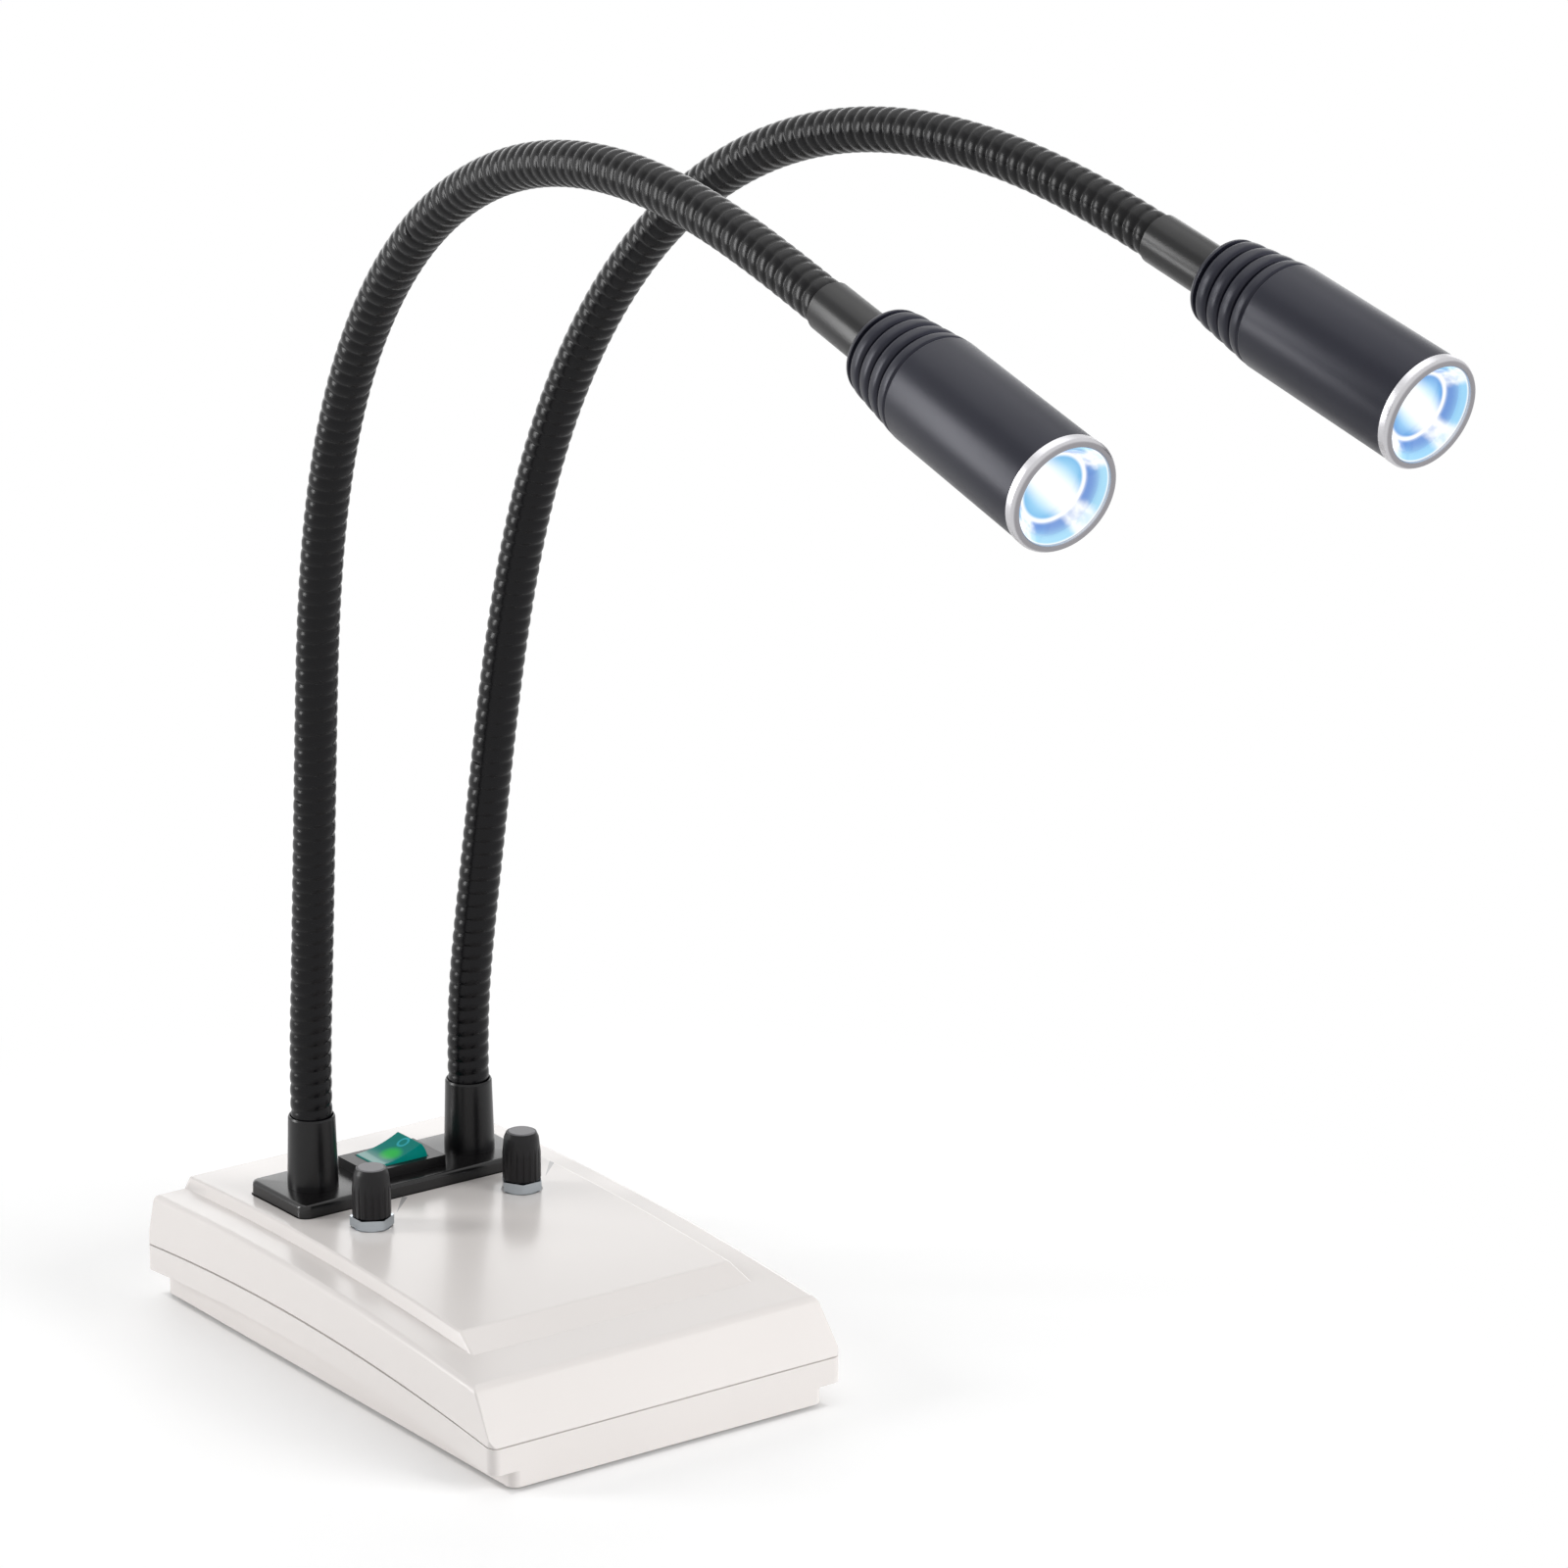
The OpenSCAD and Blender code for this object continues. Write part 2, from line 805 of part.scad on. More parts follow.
module power_inlet() {
    color("#202022")
        translate([inlet_x, inlet_seat_y, inlet_z])
            rotate([-90, 0, 0]) {
                difference() {
                    union() {
                        cylinder(d = inlet_flange_d, h = inlet_flange_t);
                        translate([0, 0, -inlet_len])
                            cylinder(d = inlet_d, h = inlet_len);
                    }
                    translate([0, 0, 2 - inlet_len])
                        cylinder(d = inlet_bore_d, h = far);
                }
                translate([0, 0, 1 - inlet_len])
                    cylinder(d = inlet_pin_d, h = inlet_len - 2);
            }
}

module inlet_nut() {
    color("silver")
        translate([inlet_x, inlet_seat_y - wall, inlet_z])
            rotate([90, 0, 0])
                difference() {
                    hex_prism(inlet_nut_af, inlet_nut_t);
                    translate([0, 0, -1])
                        cylinder(d = inlet_d + 2 * run_fit, h = inlet_nut_t + 2);
                }
}

// Neck plate and switch

module neck_plate() {
    half_w = plate_w / 2;
    half_d = plate_d / 2;
    low = plate_z - plate_chamfer;
    color(satin_black)
        difference() {
            intersection() {
                translate([0, plate_y, seat_z])
                    rounded_slab(plate_w, plate_d, plate_corner, plate_z - seat_z);
                translate([0, far / 2, 0])
                    rotate([90, 0, 0])
                        linear_extrude(far)
                            polygon([
                                [-half_w, 0],
                                [half_w, 0],
                                [half_w, low],
                                [half_w - plate_chamfer, plate_z],
                                [plate_chamfer - half_w, plate_z],
                                [-half_w, low]
                            ]);
                translate([far / 2, plate_y, 0])
                    rotate([0, -90, 0])
                        linear_extrude(far)
                            polygon([
                                [0, -half_d],
                                [low, -half_d],
                                [plate_z, plate_chamfer - half_d],
                                [plate_z, half_d - plate_chamfer],
                                [low, half_d],
                                [0, half_d]
                            ]);
            }
            at_each_socket()
                cylinder(d = stud_d + 2 * play, h = far);
            translate([0, plate_y, 0])
                linear_extrude(far)
                    square([switch_l + 2 * play, switch_d + 2 * play], center = true);
        }
}

module switch_housing() {
    color(satin_black)
        translate([0, plate_y, 0])
            difference() {
                union() {
                    translate([-bezel_l / 2, -bezel_d / 2, plate_z])
                        cube([bezel_l, bezel_d, bezel_h]);
                    translate([-switch_l / 2, -switch_d / 2, plate_z - switch_h])
                        cube([switch_l, switch_d, switch_h]);
                }
                translate([0, 0, pivot_z])
                    rotate([90, 0, 0]) {
                        cylinder(r = rocker_r + play, h = rocker_d + 2 * play, center = true);
                        cylinder(
                            r = rocker_pin_r + run_fit,
                            h = rocker_d + 2 * play + 2 * pin_reach,
                            center = true
                        );
                    }
            }
}

// Lit rocker, dished along its length, shown with its left half pressed
module switch_rocker() {
    dish_r = rocker_r / sin(rocker_dish);
    color("#0F9D7A")
        translate([0, plate_y, pivot_z])
            rotate([0, -rocker_tilt, 0])
                rotate([90, 0, 0]) {
                    difference() {
                        cylinder(r = rocker_r, h = rocker_d, center = true);
                        translate([-far / 2, -far - rocker_under, -far / 2])
                            cube(far);
                        translate([0, rocker_crown + dish_r, 0])
                            cylinder(r = dish_r, h = far, center = true);
                    }
                    cylinder(
                        r = rocker_pin_r,
                        h = rocker_d + 2 * pin_reach,
                        center = true
                    );
                }
}

module switch_blades() {
    color("#C9A64A")
        for (i = [-1:1])
            translate([
                i * blade_pitch - blade.x / 2,
                plate_y - blade.y / 2,
                plate_z - switch_h - blade.z
            ])
                cube(blade);
}

// Sockets

module neck_socket(side) {
    seat = socket_top_z - socket_depth;
    top_r = neck_r + socket_rim;
    color(satin_black)
        translate([side * socket_x, plate_y, 0])
            difference() {
                union() {
                    turned([
                        [0, plate_z],
                        [socket_d / 2, plate_z],
                        [socket_d / 2, plate_z + socket_foot],
                        [top_r, socket_top_z - socket_lip.y],
                        [top_r - socket_lip.x, socket_top_z],
                        [0, socket_top_z]
                    ]);
                    translate([0, 0, plate_z - stud_len])
                        cylinder(d = stud_d, h = stud_len);
                }
                cylinder(d = lead_d, h = far);
                translate([0, 0, seat])
                    cylinder(r = neck_r + neck_fit, h = far);
            }
}

module socket_nuts() {
    color("silver")
        at_each_socket()
            translate([0, 0, land_z - socket_nut_t])
                difference() {
                    hex_prism(socket_nut_af, socket_nut_t);
                    translate([0, 0, -1])
                        cylinder(d = stud_d + 2 * run_fit, h = socket_nut_t + 2);
                }
}

// Dimmers

module dimmer(side) {
    tab = [1, 5, 4];
    tab_pitch = 4;
    tab_reach = 1;
    color("#4A4A50")
        at_knob(side)
            translate([0, 0, pot_z])
                difference() {
                    union() {
                        cylinder(d = pot_d, h = pot_h);
                        cylinder(d = bush_d, h = bush_top_z - pot_z);
                        for (i = [-1:1])
                            translate([i * tab_pitch - tab.x / 2, -pot_d / 2 - tab_reach, tab.z / 2 - tab.z])
                                cube(tab);
                    }
                    translate([0, 0, pot_floor])
                        cylinder(d = shaft_d + 2 * run_fit, h = far);
                }
}

module dimmer_washers() {
    color("silver")
        at_each_knob()
            translate([0, 0, panel_z - spot_depth])
                difference() {
                    cylinder(d = washer_d, h = washer_t);
                    translate([0, 0, -1])
                        cylinder(d = bush_d + 2 * run_fit, h = washer_t + 2);
                }
}

module dimmer_nuts() {
    color("silver")
        for (side = [-1, 1])
            at_knob(side)
                translate([0, 0, nut_z])
                    rotate([0, 0, side < 0 ? left_nut_turn : 0])
                        difference() {
                            hex_prism(nut_af, nut_t);
                            translate([0, 0, -1])
                                cylinder(d = bush_d + 2 * run_fit, h = nut_t + 2);
                        }
}

module dimmer_shaft(side) {
    low = pot_z + pot_floor + play;
    color("#B8B8BC")
        at_knob(side)
            translate([0, 0, low])
                cylinder(d = shaft_d, h = shaft_top_z - low);
}

module knob(side) {
    foot_r = knob_d / 2;
    top_r = foot_r - 0.5;
    top = knob_z + knob_h;
    flute_r = 0.45;
    color(satin_black)
        at_knob(side)
            difference() {
                turned([
                    [0, knob_z],
                    [foot_r, knob_z],
                    [foot_r, knob_z + knob_h * 0.55],
                    [top_r, top - 1.6],
                    [top_r - 0.7, top],
                    [0, top]
                ]);
                translate([0, 0, knob_z - 1])
                    cylinder(d = bush_d + 2 * bush_room, h = bush_top_z - knob_z + 1 + play);
                cylinder(d = shaft_d + 2 * run_fit, h = shaft_top_z + play);
                translate([0, 0, top - cap_disc_sunk])
                    cylinder(d = cap_disc_d + 2 * run_fit, h = far);
                for (i = [0:knob_flutes - 1])
                    rotate(i * 360 / knob_flutes)
                        translate([foot_r + flute_r * 0.45, 0, knob_z - 1])
                            cylinder(r = flute_r, h = knob_h - 1.6);
            }
}

module knob_cap(side) {
    color("#D4D4D4")
        at_knob(side)
            translate([0, 0, knob_z + knob_h - cap_disc_sunk])
                turned([
                    [0, 0],
                    [cap_disc_d / 2, 0],
                    [cap_disc_d / 2, cap_disc_t - 0.3],
                    [cap_disc_d / 2 - 0.3, cap_disc_t],
                    [0, cap_disc_t]
                ]);
}

// Goosenecks

module neck_segment(arm, i) {
    stations = segment_stations(i);
    rings = len(stations);
    color("#222226")
        polyhedron(
            points = [for (st = stations) each ring_points(arm, st)],
            faces = [for (j = [0:rings - 1]) each ring_faces(j, rings)]
        );
}

// Lamp heads

module ferrule(arm) {
    r = ferrule_d / 2;
    color(satin_black)
        at_head(arm)
            difference() {
                turned([
                    [0, 0],
                    [r - 0.6, 0],
                    [r - 0.1, 0.8],
                    [r, ferrule_len],
                    [ferrule_stub_d / 2, ferrule_len],
                    [ferrule_stub_d / 2, ferrule_len + ferrule_stub],
                    [0, ferrule_len + ferrule_stub]
                ]);
                translate([0, 0, -1])
                    cylinder(r = neck_r + neck_fit, h = ferrule_depth + 1);
                cylinder(d = lead_d - 0.4, h = far);
            }
}

module finned_cap(arm) {
    rear_r = cap_rear_d / 2;
    front_r = barrel_rear_d / 2;
    slope = (front_r - rear_r) / cap_len;
    shoulder = 2;
    color(satin_black)
        at_head(arm)
            difference() {
                turned([
                    [0, cap_z],
                    [rear_r - shoulder, cap_z],
                    [rear_r - 0.6, cap_z + 0.6],
                    [rear_r, cap_z + shoulder],
                    [front_r, barrel_z],
                    [spigot_r, barrel_z],
                    [spigot_r, barrel_z + spigot_len],
                    [0, barrel_z + spigot_len]
                ]);
                for (i = [1:cap_grooves]) {
                    z = (i - groove_start) * groove_pitch;
                    translate([0, 0, cap_z + z])
                        rotate_extrude()
                            translate([rear_r + slope * z + groove_r * 0.25, 0])
                                circle(groove_r);
                }
                translate([0, 0, cap_z - 1])
                    cylinder(d = ferrule_stub_d + 2 * run_fit, h = ferrule_stub + 1 + play);
                cylinder(d = lead_d, h = far);
            }
}

module barrel(arm) {
    rear_r = barrel_rear_d / 2;
    front_r = barrel_d / 2;
    color(satin_black)
        at_head(arm)
            difference() {
                turned([
                    [0, barrel_z],
                    [rear_r, barrel_z],
                    [front_r, ring_z],
                    [0, ring_z]
                ]);
                turned([
                    [0, barrel_z - 1],
                    [rear_r - barrel_wall, barrel_z - 1],
                    [rear_r - barrel_wall, barrel_z + spigot_len],
                    [front_r - barrel_wall, ring_z],
                    [front_r - barrel_wall, ring_z + 1],
                    [0, ring_z + 1]
                ]);
            }
}

module front_ring(arm) {
    open_r = lens_flange_r - ring_cover;
    color("#C8C8CC")
        at_head(arm)
            turned([
                [skirt_bore_r, ring_z - ring_lip],
                [skirt_r, ring_z - ring_lip],
                [skirt_r, ring_z],
                [ring_r, ring_z],
                [ring_r, ring_z + ring_len - 1.2],
                [ring_r - 0.9, head_front],
                [open_r + 0.5, head_front],
                [open_r, head_front - 0.6],
                [open_r, lens_front_z],
                [skirt_bore_r, lens_front_z]
            ]);
}

// Collimating lens: a dished cone whose thin flange is held behind the front ring
module lens(arm) {
    body_r = holder_r - holder_wall - play;
    dip_r = 3;
    color("#CFE6F5")
        at_head(arm)
            turned([
                [0, lens_z + 4],
                [dip_r, lens_z + 3],
                [dip_r, lens_z],
                [lens_rear_d / 2, lens_z],
                [body_r, lens_front_z - lens_flange_t],
                [lens_flange_r, lens_front_z - lens_flange_t],
                [lens_flange_r, lens_front_z],
                [0, lens_front_z]
            ]);
}

// Open tube that carries the lens from the lamp board
module lens_holder(arm) {
    flange_z = lens_front_z - lens_flange_t;
    bore_r = holder_r - holder_wall;
    color("#303034")
        at_head(arm)
            difference() {
                turned([
                    [0, holder_z],
                    [led_board_d / 2, holder_z],
                    [led_board_d / 2, holder_z + 2],
                    [holder_r, holder_z + 6],
                    [holder_r, flange_z],
                    [0, flange_z]
                ]);
                turned([
                    [0, holder_z - 1],
                    [holder_slot_d / 2, holder_z - 1],
                    [holder_slot_d / 2, holder_z + 3],
                    [bore_r, holder_z + 7],
                    [bore_r, flange_z + 1],
                    [0, flange_z + 1]
                ]);
            }
}

module led_board(arm) {
    color("#E8E8E4")
        at_head(arm)
            translate([0, 0, barrel_z + spigot_len])
                cylinder(d = led_board_d, h = led_board_t);
}

module led(arm) {
    color("#FFF6C8")
        at_head(arm)
            translate([0, 0, holder_z]) {
                translate([-led_base / 2, -led_base / 2, 0])
                    cube([led_base, led_base, led_base_t]);
                translate([0, 0, led_base_t])
                    intersection() {
                        sphere(led_dome_r);
                        translate([0, 0, led_dome_r - 0.01])
                            cube(2 * led_dome_r, center = true);
                    }
            }
}

foot_pad();
bottom_tray();
top_cover();
case_screws();
ballast_plate();
ballast_screws();
driver_board();
board_standoffs();
board_screws();
driver_parts();
power_inlet();
inlet_nut();
neck_plate();
switch_housing();
switch_rocker();
switch_blades();
neck_socket(-1);  // left_socket
neck_socket(1);  // right_socket
socket_nuts();
dimmer(-1);  // left_dimmer
dimmer(1);  // right_dimmer
dimmer_washers();
dimmer_nuts();
dimmer_shaft(-1);  // left_shaft
dimmer_shaft(1);  // right_shaft
knob(-1);  // left_knob
knob(1);  // right_knob
knob_cap(-1);  // left_knob_cap
knob_cap(1);  // right_knob_cap
for (i = [1:SEGMENTS]) {
    neck_segment(left, i);
    neck_segment(right, i);
}
ferrule(left);  // left_ferrule
ferrule(right);  // right_ferrule
finned_cap(left);  // left_finned_cap
finned_cap(right);  // right_finned_cap
barrel(left);  // left_barrel
barrel(right);  // right_barrel
front_ring(left);  // left_front_ring
front_ring(right);  // right_front_ring
lens(left);  // left_lens
lens(right);  // right_lens
lens_holder(left);  // left_lens_holder
lens_holder(right);  // right_lens_holder
led_board(left);  // left_led_board
led_board(right);  // right_led_board
led(left);  // left_led
led(right);  // right_led
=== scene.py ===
"""Dual gooseneck illuminator: the looks of each piece and the studio round it."""

import json
import logging
import math
from dataclasses import KW_ONLY, dataclass, field, replace
from enum import Enum
from typing import Callable, Iterable, Sequence, Union

import bmesh
import bpy
from mathutils import Matrix, Vector


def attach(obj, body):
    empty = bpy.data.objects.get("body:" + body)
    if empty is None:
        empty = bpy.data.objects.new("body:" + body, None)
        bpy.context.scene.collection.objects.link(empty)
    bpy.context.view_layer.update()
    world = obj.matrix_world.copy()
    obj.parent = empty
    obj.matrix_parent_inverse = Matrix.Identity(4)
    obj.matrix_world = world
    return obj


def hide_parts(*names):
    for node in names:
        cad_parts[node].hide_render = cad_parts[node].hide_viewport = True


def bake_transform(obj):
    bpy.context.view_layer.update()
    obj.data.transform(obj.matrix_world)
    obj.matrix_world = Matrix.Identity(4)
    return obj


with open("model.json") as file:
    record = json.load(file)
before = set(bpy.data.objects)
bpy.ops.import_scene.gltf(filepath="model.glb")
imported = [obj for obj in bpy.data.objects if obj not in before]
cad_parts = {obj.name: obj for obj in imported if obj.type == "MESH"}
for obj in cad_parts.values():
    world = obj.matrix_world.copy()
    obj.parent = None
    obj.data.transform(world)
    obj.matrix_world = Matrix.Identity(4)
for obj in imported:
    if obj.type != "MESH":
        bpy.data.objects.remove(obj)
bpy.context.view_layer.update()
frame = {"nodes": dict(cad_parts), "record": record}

LOG = logging.getLogger("illuminator")
MM = 0.001
CREASE = 40.0
WELD = 1e-6
FLAT = math.radians(0.3)
PLATE_Y = 49.5 * MM
SOCKET_X = 27 * MM
SOCKET_TOP = 62.7 * MM
NECK_LEN = 490 * MM

Operand = Union["Value", float]
Inputs = dict[str | int, object]
Colour = tuple[float, float, float, float]
Blues = tuple[Colour, Colour, Colour]
Point2 = tuple[float, float]
Material = bpy.types.Material
Mesh = bpy.types.Mesh
Corner = bmesh.types.BMVert
EdgeShare = Callable[[Vector, Vector], float]


def rgb(red: int, green: int, blue: int) -> Colour:
    """Turn display values from 0 to 255 into an opaque colour in linear light."""

    def linear(value: int) -> float:
        """One channel in linear light."""
        share = value / 255
        return share / 12.92 if share <= 0.04045 else ((share + 0.055) / 1.055) ** 2.4

    return (linear(red), linear(green), linear(blue), 1.0)


def grey(level: float) -> Colour:
    """A grey in linear light."""
    return (level, level, level, 1.0)


def smooth(value: float) -> float:
    """Ease from 0 to 1 with level ends."""
    held = min(max(value, 0.0), 1.0)
    return held * held * (3 - 2 * held)


@dataclass(frozen=True)
class Value:
    """A shader value: one output socket, with arithmetic that adds Math nodes."""

    graph: "Graph"
    socket: bpy.types.NodeSocket

    def maths(self, operation: str, *others: Operand, first: bool = True) -> "Value":
        """Add one Math node, with this value as its first operand or its last."""
        operands = [self, *others] if first else [*others, self]
        return self.graph.node("ShaderNodeMath", dict(enumerate(operands)), operation=operation)

    def __add__(self, other: Operand) -> "Value":
        """Sum."""
        return self.maths("ADD", other)

    __radd__ = __add__

    def __sub__(self, other: Operand) -> "Value":
        """Difference."""
        return self.maths("SUBTRACT", other)

    def __rsub__(self, other: float) -> "Value":
        """Difference from a number."""
        return self.maths("SUBTRACT", other, first=False)

    def __mul__(self, other: Operand) -> "Value":
        """Product."""
        return self.maths("MULTIPLY", other)

    __rmul__ = __mul__

    def __truediv__(self, other: Operand) -> "Value":
        """Quotient."""
        return self.maths("DIVIDE", other)

    def __rtruediv__(self, other: float) -> "Value":
        """Quotient of a number by this value."""
        return self.maths("DIVIDE", other, first=False)

    def __abs__(self) -> "Value":
        """Absolute value."""
        return self.maths("ABSOLUTE")

    def step(self, low: float, high: float) -> "Value":
        """Rise smoothly from 0 at low to 1 at high."""
        inputs = {"Value": self, "From Min": low, "From Max": high}
        return self.graph.node("ShaderNodeMapRange", inputs, interpolation_type="SMOOTHSTEP")


class Graph:
    """The node tree of one material or world, built from expressions."""

    def __init__(self, owner: Material | bpy.types.World) -> None:
        """Start an empty tree."""
        owner.use_nodes = True
        self.owner = owner
        self.tree = owner.node_tree
        self.tree.nodes.clear()

    def add(self, kind: str, inputs: Inputs | None = None, **settings: object) -> bpy.types.Node:
        """Add any node.

        Args:
            kind: Blender's node type.
            inputs: sockets by name or number, with values or links.
            settings: the node's own settings.

        Returns:
            The node.
        """
        made = self.tree.nodes.new(kind)
        for key, value in settings.items():
            setattr(made, key, value)
        for key, value in (inputs or {}).items():
            if isinstance(value, Value):
                self.tree.links.new(value.socket, made.inputs[key])
            else:
                made.inputs[key].default_value = value
        return made

    def node(
        self,
        kind: str,
        inputs: Inputs | None = None,
        out: str | int = 0,
        **settings: object,
    ) -> Value:
        """Add any node and take one of its outputs."""
        return Value(self, self.add(kind, inputs, **settings).outputs[out])

    def place(self) -> Value:
        """The point on the surface, in the object's own frame."""
        return self.node("ShaderNodeTexCoord", out="Object")

    def along(self, origin: Vector, direction: Vector) -> Value:
        """Distance of the surface point from an origin, along a direction."""
        ends = {0: self.place(), 1: origin}
        offset = self.node("ShaderNodeVectorMath", ends, operation="SUBTRACT")
        pair = {0: offset, 1: direction}
        return self.node("ShaderNodeVectorMath", pair, "Value", operation="DOT_PRODUCT")

    def plan(self) -> tuple[Value, Value]:
        """The surface point's x and y."""
        x, y, _ = self.add("ShaderNodeSeparateXYZ", {0: self.place()}).outputs
        return Value(self, x), Value(self, y)

    def seen(self) -> Value:
        """1 for what the camera sees, also in a mirror or through glass, else 0."""
        rays = self.add("ShaderNodeLightPath").outputs
        camera, mirror, glass = (
            Value(self, rays[f"Is {kind} Ray"]) for kind in ("Camera", "Glossy", "Transmission")
        )
        return camera.maths("MAXIMUM", mirror).maths("MAXIMUM", glass)

    def noise(self, scale: float, detail: float = 2.0, place: Value | None = None) -> Value:
        """Soft noise from 0 to 1, its scale in features to a metre, with finer layers added."""
        inputs = {"Vector": place or self.place(), "Scale": scale, "Detail": detail}
        return self.node("ShaderNodeTexNoise", inputs, "Fac")

    def mix(self, factor: Value, low: object, high: object) -> Value:
        """Blend two colours: factor 0 gives low and 1 gives high."""
        inputs = {0: factor, 6: low, 7: high}
        return self.node("ShaderNodeMix", inputs, 2, data_type="RGBA", clamp_factor=True)

    def bump(self, height: Value, strength: float, distance: float) -> Value:
        """Turn a relief from 0 to 1, with a depth in metres, into a surface normal."""
        inputs = {"Height": height, "Strength": strength, "Distance": distance}
        return self.node("ShaderNodeBump", inputs)


Paint = tuple[Value | Colour, Value, Inputs]


@dataclass(frozen=True)
class Finish:
    """A surface whose gloss and fine relief follow one pattern."""

    name: str
    _: KW_ONLY
    roughness: float = 0.35
    roughness_drift: float = 0.1
    relief: float = 0.1
    relief_depth: float = 0.00005
    specular: float = 0.5
    coat: float = 0.0
    coat_roughness: float = 0.05

    def paint(self, graph: Graph) -> Paint:
        """Base colour, the pattern from 0 to 1, and the shader's other sockets by name."""
        raise NotImplementedError

    def material(self) -> Material:
        """Build the material round one Principled shader."""
        graph = Graph(bpy.data.materials.new(self.name))
        colour, pattern, more = self.paint(graph)
        least = self.roughness - self.roughness_drift / 2
        inputs = {
            "Base Color": colour,
            "Roughness": pattern * self.roughness_drift + least,
            "Specular IOR Level": self.specular,
            "Coat Weight": self.coat,
            "Coat Roughness": self.coat_roughness,
            "Normal": graph.bump(pattern, self.relief, self.relief_depth),
        }
        shader = graph.node("ShaderNodeBsdfPrincipled", inputs | more)
        graph.add("ShaderNodeOutputMaterial", {"Surface": shader})
        return graph.owner


@dataclass(frozen=True)
class Wedge:
    """A printed wedge beside a dimmer, wider towards the bright end."""

    x: float
    y: float
    turn: float = 43.0
    length: float = 13 * MM
    width: float = 1.7 * MM
    end_blur: float = 0.02
    side_blur: float = 0.03

    def mask(self, graph: Graph) -> Value:
        """1 on the print and 0 beside it."""
        x, y = graph.plan()
        cos, sin = math.cos(math.radians(self.turn)), math.sin(math.radians(self.turn))
        along = ((x - self.x) * cos + (y - self.y) * sin) / self.length
        beside = ((y - self.y) * cos - (x - self.x) * sin) / self.width
        inside = along.step(0.0, self.end_blur) * (1 - along.step(1 - self.end_blur, 1.0))
        for edge in (beside, along - beside):
            inside = inside * edge.step(-self.side_blur, self.side_blur)
        return inside


@dataclass(frozen=True)
class MouldedPlastic(Finish):
    """Injection-moulded plastic: a fine spark grain, a slow tint drift and an uneven gloss."""

    colour: Colour
    shade: Colour
    _: KW_ONLY
    roughness_drift: float = 0.08
    relief: float = 0.25
    relief_depth: float = 0.00004
    coat_roughness: float = 0.12
    grain_scale: float = 2600.0
    drift_scale: float = 18.0
    drift_share: float = 0.7
    prints: tuple[Wedge, ...] = ()
    ink: Colour = (0.3, 0.3, 0.31, 1.0)
    ink_share: float = 0.7

    def paint(self, graph: Graph) -> Paint:
        """Grain over a slow drift, with the prints on top."""
        grain = graph.noise(self.grain_scale)
        drift = graph.noise(self.drift_scale) * self.drift_share + grain * (1 - self.drift_share)
        colour = graph.mix(drift, self.shade, self.colour)
        for mark in self.prints:
            colour = graph.mix(mark.mask(graph) * self.ink_share, colour, self.ink)
        return colour, grain, {}


@dataclass(frozen=True)
class Metal(Finish):
    """Turned, plated or anodised metal with fine tool lines, and painted shade past a lip."""

    colour: Colour
    shade: Colour
    _: KW_ONLY
    metallic: float = 1.0
    relief: float = 0.12
    relief_depth: float = 0.00003
    line_scale: tuple[float, float, float] = (300.0, 300.0, 6000.0)
    cloud_scale: float = 60.0
    cloud_share: float = 0.6
    lip: tuple[Vector, Vector] | None = None
    lip_painted_shade: Colour = rgb(156, 154, 158)
    lip_blend: float = 0.25 * MM

    def paint(self, graph: Graph) -> Paint:
        """Tool lines over a cloud, and painted shade past the lip."""
        inputs = {"Vector": graph.place(), "Scale": self.line_scale}
        stretched = graph.node("ShaderNodeMapping", inputs)
        lines = graph.noise(1.0, place=stretched)
        cloud = graph.noise(self.cloud_scale, 3.0)
        drift = cloud * self.cloud_share + lines * (1 - self.cloud_share)
        colour = graph.mix(drift, self.shade, self.colour)
        # Past the lip the colour is darkened: painted shade standing in for a darker reflection.
        if self.lip:
            past = graph.along(*self.lip).step(-self.lip_blend, self.lip_blend)
            colour = graph.mix(past, colour, self.lip_painted_shade)
        return colour, lines, {"Metallic": self.metallic}


@dataclass(frozen=True)
class Rubber(Finish):
    """Matt black rubber with a coarse cast texture."""

    colour: Colour
    shade: Colour
    _: KW_ONLY
    roughness: float = 0.825
    roughness_drift: float = 0.15
    relief: float = 0.5
    relief_depth: float = 0.0001
    pore_scale: float = 1500.0

    def paint(self, graph: Graph) -> Paint:
        """Pores in two tones."""
        pores = graph.noise(self.pore_scale, 4.0)
        return graph.mix(pores, self.shade, self.colour), pores, {}


@dataclass(frozen=True)
class CircuitBoard(Finish):
    """Lacquered board with copper tracks faintly raised under the lacquer."""

    colour: Colour
    track: Colour
    _: KW_ONLY
    roughness: float = 0.4
    relief: float = 0.3
    cell_scale: float = 260.0
    track_half: Point2 = (0.04, 0.08)

    def paint(self, graph: Graph) -> Paint:
        """Tracks along the edges of cells."""
        inputs = {"Vector": graph.place(), "Scale": self.cell_scale}
        cells = graph.node("ShaderNodeTexVoronoi", inputs, "Distance", feature="DISTANCE_TO_EDGE")
        tracks = 1 - cells.step(*self.track_half)
        return graph.mix(tracks, self.colour, self.track), tracks, {}


